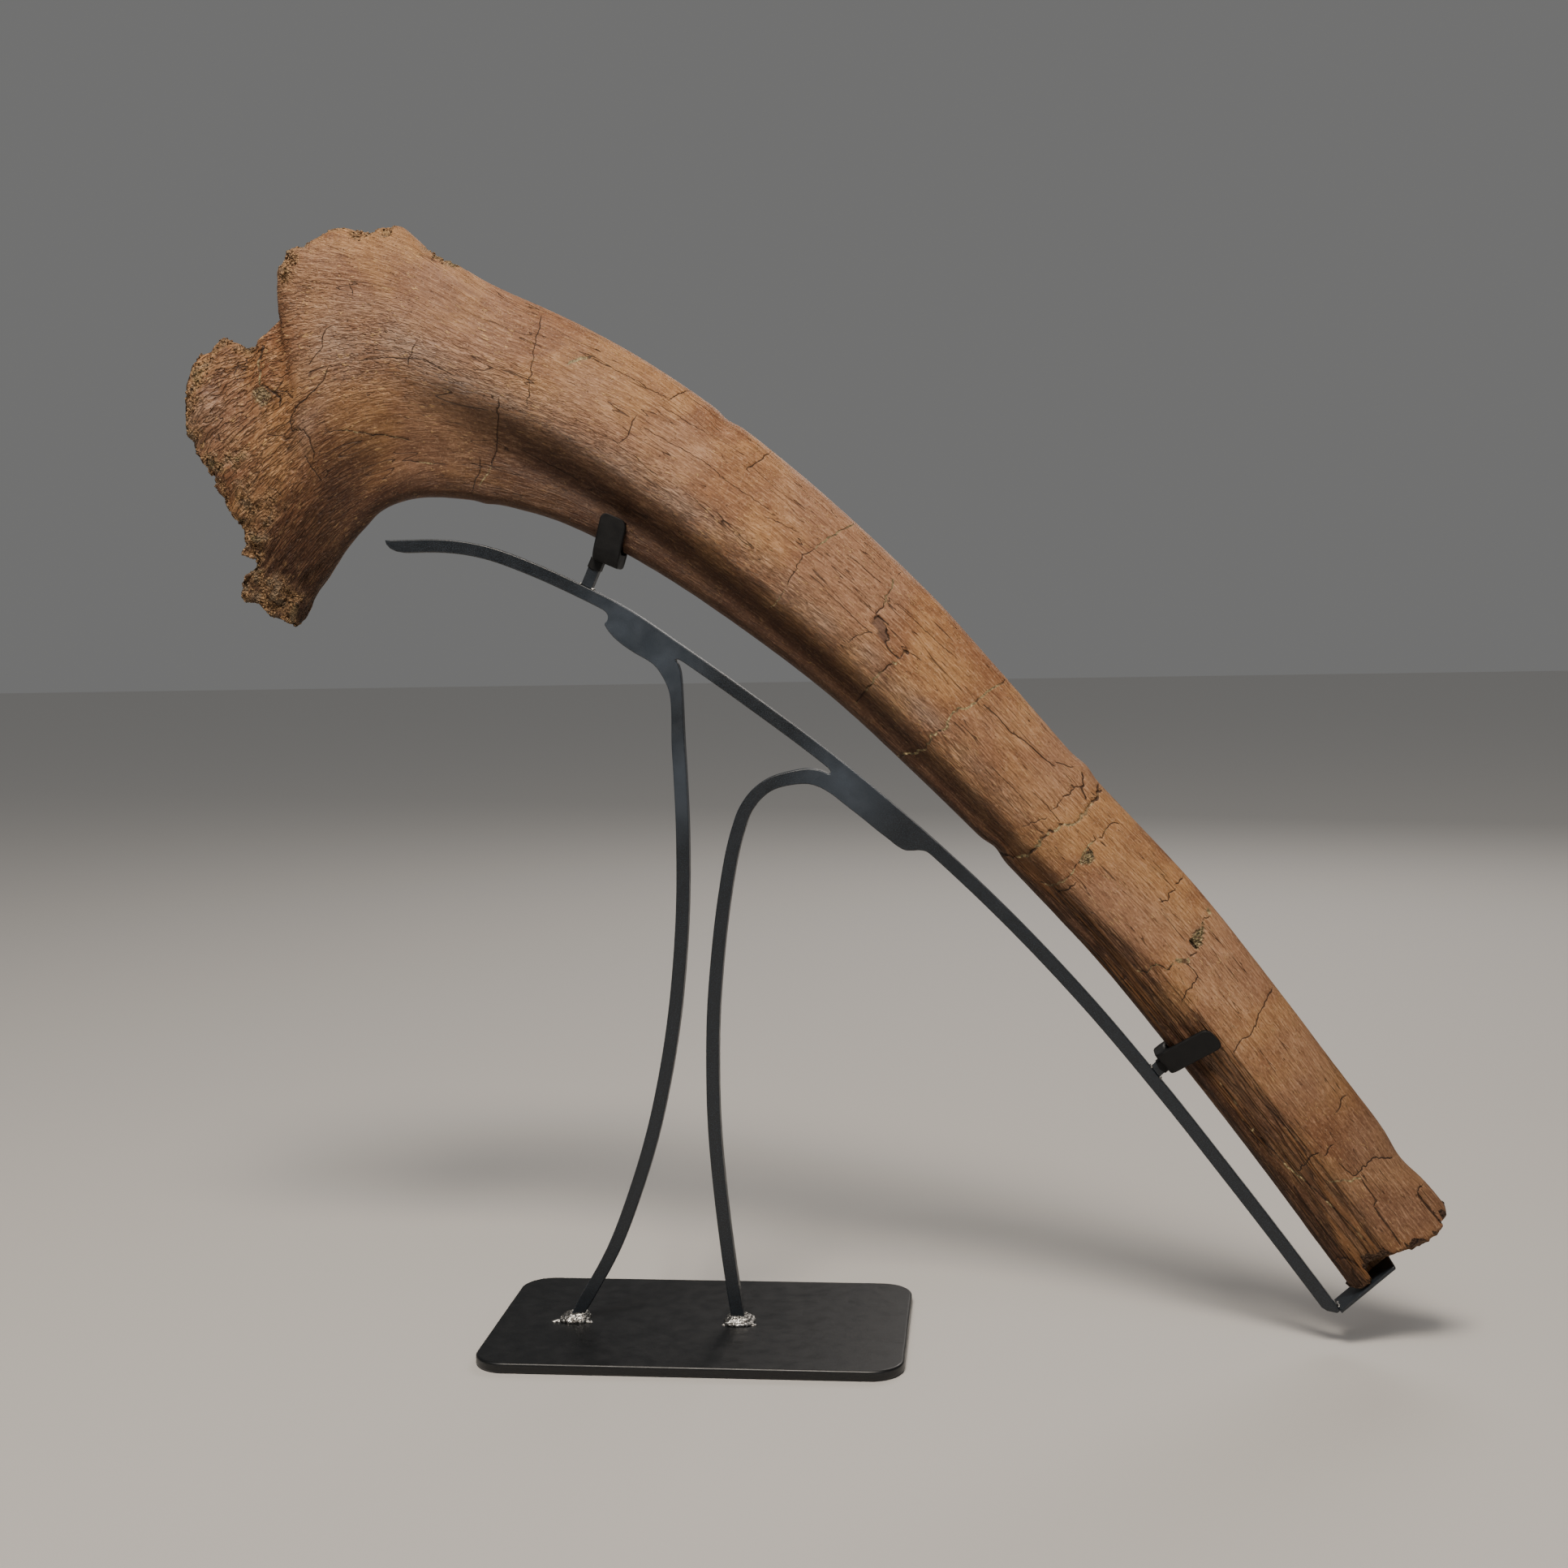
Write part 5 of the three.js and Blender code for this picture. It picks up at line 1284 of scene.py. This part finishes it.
def cradleSide(cradle, inner):
    # one side of the section, from the middle of its underside round the finger to the seat
    web, reach, skin, corner = cradle["web"], cradle["reach"], cradles["skin"], cradles["corner"]

    def lean(height):
        return mix(inner[0], inner[1], min(1, max(0, height / reach)))

    outside = [(inner[0] - skin, -web), (inner[0] + skin * 0.1, 0.6 - web), (inner[0] + skin * 0.75, 4 - web),
               (inner[0] + skin, 8 - web)]
    rows = [reach - corner + corner * math.sin(math.pi / 2 * k / 7) for k in range(7)]
    outside = list(smoothLine(outside, 5)) + [(lean(h) + skin, h) for h in rows]
    tip = [(lean(reach) + skin / 2 + skin / 2 * math.cos(a), reach - 0.02 + 0.02 * math.sin(a))
           for a in np.linspace(0.5, math.pi - 0.5, 5)]
    inside = [(lean(h), h) for h in rows[::-1]] + [(lean(4), 4), (inner[0] - 1, 1), (inner[0] - 3.5, -0.3)]
    return outside + tip + inside


def buildCradle(name, cradle):
    front = [(-depth, height) for depth, height in cradleSide(cradle, cradle["front"])]
    outline = np.array(cradleSide(cradle, cradle["back"]) + front[::-1])
    (upX, upZ), (alongX, alongZ) = padAxes(cradle)
    seatX, seatZ = cradle["seat"]
    straight = cradle["reach"] - cradles["corner"]

    def placePad(p):
        # depth across Y, height up the fingers and width along the rib, with the fingers' corners rounded
        over = np.clip(p[:, 1] - straight, 0, cradles["corner"])
        drop = cradles["corner"] - np.sqrt(cradles["corner"] ** 2 - over ** 2)
        wide = p[:, 2] * (1 - drop / (cradle["width"] / 2))
        x = seatX + upX * p[:, 1] + alongX * wide
        z = seatZ + upZ * p[:, 1] + alongZ * wide
        return np.column_stack([x, p[:, 0], z])

    pad = roundedSlab(name, outline, cradle["width"], cradles["edge"], cradles["edgeSteps"], placePad)
    foot, _, up, side = postAxes(cradle)
    top, climb = postTop(cradle)
    half, edge = cradles["stub"] / 2 + cradles["sleeve"], np.linspace(-1, 1, 9)
    # the dip line sags in the middle of the post
    sag = cradles["sag"] * np.cos(edge * math.pi / 2)
    lower = [foot + side * half * a + up * (top - cradle["dip"] - sunk) for a, sunk in zip(edge, sag)]
    upper = [foot + side * half * a + up * (top + climb * half * a + 1) for a in edge[::-1]]
    sleeve = roundedSlab("sleeve", np.array(lower + upper), 2 * half, cradles["sleeveEdge"], 3, upright)
    return joinPieces(pad, sleeve)


def upright(p):
    # an outline in x and z with its depth across y
    return np.column_stack([p[:, 0], p[:, 2], p[:, 1]])


def joinPieces(first, *others):
    with bpy.context.temp_override(active_object=first, selected_editable_objects=[first, *others]):
        bpy.ops.object.join()
    return first


def buildStub(name, cradle):
    foot, along, up, side = postAxes(cradle)
    half = cradles["stub"] / 2
    room, climb = postTop(cradle)
    slope = (up @ along) / (side @ along)
    # height and rise to the side of its foot and its top
    base, top = (0.1, slope), (room - cradles["gap"], climb)
    corners = [foot + up * (height + rise * a) + side * a
               for (height, rise), a in ((base, -half), (base, half), (top, half), (top, -half))]
    share = np.linspace(0.03, 0.97, 6)[:, None]
    outline = np.vstack([mix(corners[k], corners[(k + 1) % 4], share) for k in range(4)])
    return roundedSlab(name, outline, cradles["stub"], cradles["stubEdge"], 3, upright)


ledge = {"start": (382.6, 22.9), "tip": (413.3, 50.1), "thick": 2, "depth": 20, "edge": 0.5, "nose": 0.7}


def buildLedge():
    start, tip = np.array(ledge["start"]), np.array(ledge["tip"])
    way = (tip - start) / np.linalg.norm(tip - start)
    side = np.array([-way[1], way[0]]) * ledge["thick"] / 2
    share = np.linspace(0, 1, 30)[:, None]
    outline = np.vstack([mix(start - side, tip - side, share), [tip + way * ledge["nose"]],
                         mix(tip + side, start + side, share)])
    return roundedSlab("rest_strip", outline, ledge["depth"], ledge["edge"], 3, upright)


coatLook = {
    "graphite": "#1b1f24", "dark": "#101316", "blueGrey": "#333c46", "jointHighlight": "#3f4853",
    "peel": 0.9, "speckle": 0.5, "cloud": 9, "relief": 0.12,  # millimetres
    "gloss": (0.33, 0.46),
    # centres of the ground joints, in millimetres, and how far their painted highlight reaches
    "joints": ((-38, 0, 434), (-18, 0, 412), (92, 0, 338), (-6, 0, 340)), "jointReach": 42,
}
plateLook = dict(coatLook, graphite="#0c0e10", dark="#060708", blueGrey="#171b1f")


def coatMaterial(name, look):
    # powder coat over steel: baked plastic paint, satin, with a fine orange peel and a graphite fleck, and a
    # painted highlight, lighter and mottled, round the ground joints
    material, add = newMaterial(name)
    place, reach = add("place"), look["jointReach"] * mm
    peel = add("noise", place, 1 / (look["peel"] * mm), 2.0)
    fleck = add("noise", place, 1 / (look["speckle"] * mm))
    cloud = add("noise", place, 1 / (look["cloud"] * mm), 4.0)
    fromJoints = [add("distance", place, [v * mm for v in joint]) for joint in look["joints"]]
    nearJoint = add("larger", *(add("fade", away, 0.0, reach, 1.0, 0.0) for away in fromJoints))
    # painted highlight: a lighter, mottled coat round the joints
    jointHighlight = add("multiply", nearJoint, add("fade", cloud, 0.35, 0.65, 0.75))
    colour = add("mix", cloud, look["dark"], look["graphite"])
    colour = add("mix", jointHighlight, colour, look["jointHighlight"])
    colour = add("mix", add("fade", fleck, 0.48, 0.7), colour, look["blueGrey"])
    gloss = add("fade", cloud, 0.3, 0.7, *look["gloss"])
    bump = add("bump", peel, 0.35, look["relief"] * mm)
    return finishMaterial(material, {"Base Color": colour, "Roughness": gloss, "Normal": bump})


rubberLook = {
    "black": "#060607", "grey": "#0d0e10", "skin": 0.7, "runs": 6, "relief": 0.12,  # millimetres
    "gloss": (0.5, 0.64), "ior": 1.52, "specular": 0.3,
}


def rubberMaterial():
    # dipped rubber: near black, satin, slightly uneven where the dip ran
    look = rubberLook
    material, add = newMaterial("dipped_rubber")
    place = add("place")
    skin = add("noise", place, 1 / (look["skin"] * mm), 3.0)
    runs = add("noise", place, 1 / (look["runs"] * mm), 1.0)
    gloss = add("fade", runs, 0.3, 0.7, *look["gloss"])
    bump = add("bump", add("add", add("multiply", runs, 5.0), skin), 0.4, look["relief"] * mm)
    return finishMaterial(material, {
        "Base Color": add("mix", runs, look["black"], look["grey"]), "Roughness": gloss, "Normal": bump,
        "IOR": look["ior"], "Specular IOR Level": look["specular"],
    })


weldLook = {
    "bright": "#c9c8c4", "sooty": "#4a4846", "soot": 1.6, "grit": 0.5, "relief": 0.35,  # millimetres
    "gloss": (0.22, 0.55),
}


def weldMaterial():
    # bare weld bead: steel that froze in ripples, bright on its crests and sooty in between
    look = weldLook
    material, add = newMaterial("bare_weld_steel")
    place = add("place")
    soot = add("noise", place, 1 / (look["soot"] * mm), 4.0)
    grit = add("noise", place, 1 / (look["grit"] * mm), 3.0)
    colour = add("mix", add("fade", soot, 0.42, 0.6), look["bright"], look["sooty"])
    return finishMaterial(material, {
        "Base Color": colour, "Roughness": add("fade", soot, 0.35, 0.65, *look["gloss"]), "Metallic": 1.0,
        "Normal": add("bump", grit, 0.7, look["relief"] * mm),
    })


welds = {
    "inner": {"reach": 4.4, "height": 3.4}, "middle": {"reach": 6, "height": 2},
    "outer": {"reach": 7.6, "height": 0.7},  # the runs round each foot
    "drop": 1.9, "spacing": 1.2, "dotDrop": 0.9, "dotSpacing": 1.1, "stripDrop": 1.2, "voxel": 0.35,
    # each foot: name, x, how far it leans for each millimetre up, and its spatter's reach to each side
    "feet": (("left", -79.6, 0.59, (-11.6, 10.8)), ("right", 23.4, -0.16, (-9.4, 9.6))),
}


def beadTree(material):
    # overlapping drops of metal along a path, fused to one skin
    tree, keys = newTree("weld_bead", "Spacing", "Drop", "Voxel", "Seed")
    given = addNode(tree, "NodeGroupInput").outputs
    path = addNode(tree, "GeometryNodeMeshToCurve", {"Mesh": given["Geometry"]})
    spots = addNode(tree, "GeometryNodeCurveToPoints", {"Curve": path.outputs[0], "Length": given["Spacing"]},
                    mode="LENGTH")
    drop = addNode(tree, "GeometryNodeMeshIcoSphere", {"Radius": given["Drop"], "Subdivisions": 2})
    size = addNode(tree, "FunctionNodeRandomValue", {"Min": (0.7, 0.7, 0.6), "Max": (1.25, 1.25, 1.1),
                                                     "Seed": given["Seed"]}, data_type="FLOAT_VECTOR")
    drops = addNode(tree, "GeometryNodeInstanceOnPoints", {"Points": spots.outputs["Points"],
                                                           "Instance": drop.outputs["Mesh"],
                                                           "Scale": size.outputs["Value"]})
    whole = addNode(tree, "GeometryNodeRealizeInstances", {"Geometry": drops.outputs[0]})
    cloud = addNode(tree, "GeometryNodeMeshToVolume", {"Mesh": whole.outputs[0], "Voxel Size": given["Voxel"]},
                    resolution_mode="VOXEL_SIZE")
    skin = addNode(tree, "GeometryNodeVolumeToMesh", {"Volume": cloud.outputs[0], "Voxel Size": given["Voxel"],
                                                      "Threshold": 0.1}, resolution_mode="VOXEL_SIZE")
    smooth = addNode(tree, "GeometryNodeSetShadeSmooth", {"Geometry": skin.outputs[0]})
    finish = addNode(tree, "GeometryNodeSetMaterial", {"Geometry": smooth.outputs[0], "Material": material})
    addNode(tree, "NodeGroupOutput", {0: finish.outputs[0]})
    return tree, keys


def beadAlong(name, paths, tree, keys, drop, spacing, seed):
    # one skin of weld metal along one or more paths
    points, edges = [], []
    for path in paths:
        edges += [(len(points) + k, len(points) + k + 1) for k in range(len(path) - 1)]
        points += [tuple(np.array(p) * mm) for p in path]
    mesh = bpy.data.meshes.new(name)
    mesh.from_pydata(points, edges, [])
    return runTree(newObject(name, mesh), tree, keys, {
        "Drop": drop * mm, "Spacing": spacing * mm, "Voxel": welds["voxel"] * mm, "Seed": seed,
    })


coat = coatMaterial("graphite_powder_coat", coatLook)
darkerCoat = coatMaterial("darker_powder_coat", plateLook)  # the plate's coat is the darker one
rubber, bareWeld = rubberMaterial(), weldMaterial()
frameBar, baseSlab, restStrip = buildFrame(), buildPlate(), buildLedge()
stubs = {name: buildStub(name + "_post", cradles[name]) for name in ("upper", "lower")}
for piece, finish, nodes in (
    (frameBar, coat, ("spine_bar", "left_leg", "right_leg")), (baseSlab, darkerCoat, ("base_plate",)),
    (restStrip, coat, ("end_ledge",)), (stubs["upper"], coat, ("upper_stub",)),
    (stubs["lower"], coat, ("lower_stub",)),
):
    piece.data.materials.append(finish)
    finishPiece(piece, "coated_steel", *nodes)
for name in ("upper", "lower"):
    pad = buildCradle(name + "_pad", cradles[name])
    pad.data.materials.append(rubber)
    finishPiece(pad, "cradle_rubber", name + "_cradle")
print("stand built")


def footPaths(foot, lean, spatter):
    paths = []
    for run in (welds["inner"], welds["middle"], welds["outer"]):
        height, reach = plate["thick"] + run["height"], run["reach"]
        turns = np.linspace(0, 2 * math.pi, 33)
        square = [reach / (abs(math.cos(a)) ** 4 + abs(math.sin(a)) ** 4) ** 0.25 for a in turns]
        paths.append([(foot + lean * run["height"] + r * math.cos(a), r * math.sin(a), height)
                      for a, r in zip(turns, square)])
    for reach in spatter:
        paths.append([(foot + reach * share, -4 - 2 * share, plate["thick"] + 0.5 - share)
                      for share in (0.7, 0.85, 1)])
    return paths


def buildWelds():
    tree, keys = beadTree(bareWeld)
    for number, (side, foot, lean, spatter) in enumerate(welds["feet"]):
        bead = beadAlong(side + "_foot_bead", footPaths(foot, lean, spatter), tree, keys, welds["drop"],
                         welds["spacing"], 3 + number)
        finishPiece(bead, "bare_weld", side + "_foot_weld")
    for name in ("upper", "lower"):
        foot, along, up, _ = postAxes(cradles[name])
        y = -cradles["stub"] / 2
        for number, across in enumerate((-1, 1)):
            spot = foot + along * across * (cradles["stub"] / 2 + 0.5) + up * 0.3
            path = [(spot[0], y + d, spot[1]) for d in (0.2, 3.5, 6.8)]
            dot = beadAlong(f"{name}_post_weld_{number}", [path], tree, keys, welds["dotDrop"],
                            welds["dotSpacing"], 11 + number)
            finishPiece(dot, "bare_weld")
    corner = [(ledge["start"][0] + 0.4, y, ledge["start"][1] + 0.9) for y in (-3.6, 0, 3.6)]
    bead = beadAlong("strip_weld", [corner], tree, keys, welds["stripDrop"], welds["spacing"], 21)
    finishPiece(bead, "bare_weld")


buildWelds()
print("welds built")


# camera, light and floor

view = {
    "place": (179, -1165, 432), "yaw": 6.0, "pitch": 4.6, "roll": -1.0,  # millimetres and degrees
    "lens": 45, "sensor": 36, "clipEnd": 60,
}


def setOut(thing, place, right, up, back):
    # puts a lamp or camera in its place, with the directions of its three axes
    turn = Matrix([list(row) for row in np.stack([right, up, back], 1)])
    thing.matrix_world = Matrix.Translation(place) @ turn.to_4x4()


def aimCamera():
    yaw, pitch, roll = (math.radians(view[key]) for key in ("yaw", "pitch", "roll"))
    forward = np.array([-math.sin(yaw) * math.cos(pitch), math.cos(yaw) * math.cos(pitch), -math.sin(pitch)])
    level = np.array([math.cos(yaw), math.sin(yaw), 0])
    rise = np.cross(level, forward)
    right = level * math.cos(roll) + rise * math.sin(roll)
    up = -level * math.sin(roll) + rise * math.cos(roll)
    data = bpy.data.cameras.new("camera")
    data.lens, data.sensor_width, data.clip_end = view["lens"], view["sensor"], view["clipEnd"]
    camera = newObject("camera", data)
    setOut(camera, [v * mm for v in view["place"]], right, up, -forward)
    bpy.context.scene.camera = camera


# name: place in metres, point it faces, width, height, power in watts, colour
lamps = {
    "key": ((-0.08, -1.15, 2.35), (0.0, 0, 0.42), 0.8, 0.6, 66, "#fff2e2"),
    "back": ((0.7, 2.1, 1.7), (0.05, 0, 0.35), 1.4, 1.0, 20, "#fff6ee"),
    "fill": ((1.3, -1.9, 0.8), (0.1, 0, 0.35), 1.0, 1.0, 2.5, "#eef3ff"),
}
# a broad, weak light from high above, so that the floor stays even
skylight = {"from": (-0.25, -0.5, 1), "angle": 40, "strength": 0.7}
studio = {
    "floorSize": 14, "floor": "#bcbab7", "floorRoughness": 0.8, "sky": "#d9d9d8", "skyStrength": 0.13,
    "backdrop": 0.24,
}


def buildLamps():
    for name, (place, target, width, height, power, colour) in lamps.items():
        data = bpy.data.lights.new(name, "AREA")
        data.shape, data.size, data.size_y = "RECTANGLE", width, height
        data.energy, data.color = power, toLinear(colour)[:3]
        away = np.array(place) - np.array(target)
        away = away / np.linalg.norm(away)
        side = np.cross([0, 0, 1], away)
        side = side / np.linalg.norm(side)
        setOut(newObject(name, data), place, side, np.cross(away, side), away)
    sun = bpy.data.lights.new("skylight", "SUN")
    sun.energy, sun.angle = skylight["strength"], math.radians(skylight["angle"])
    turn = Vector(skylight["from"]).to_track_quat("Z", "Y").to_matrix()
    newObject("skylight", sun).matrix_world = turn.to_4x4()


def buildSky():
    # the sky lights the scene dimly, and is as pale as the floor where it is seen
    world = bpy.data.worlds.new("studio")
    world.use_nodes = True
    tree = world.node_tree
    tree.nodes.clear()
    dim, seen = (addNode(tree, "ShaderNodeBackground", {"Color": studio["sky"], "Strength": studio[strength]})
                 for strength in ("skyStrength", "backdrop"))
    ray = addNode(tree, "ShaderNodeLightPath").outputs["Is Camera Ray"]
    both = addNode(tree, "ShaderNodeMixShader", {0: ray, 1: dim.outputs[0], 2: seen.outputs[0]})
    addNode(tree, "ShaderNodeOutputWorld", {"Surface": both.outputs[0]})
    bpy.context.scene.world = world


def buildFloor():
    # matt white paper
    size = studio["floorSize"]
    corners = [(-size, -size, 0), (size, -size, 0), (size, size, 0), (-size, size, 0)]
    floor = newObject("floor", newMesh("floor", corners, [(0, 1, 2, 3)]))
    material, _ = newMaterial("paper_floor")
    surface = {"Base Color": studio["floor"], "Roughness": studio["floorRoughness"]}
    floor.data.materials.append(finishMaterial(material, surface))


aimCamera()
buildLamps()
buildSky()
buildFloor()
print("scene ready")
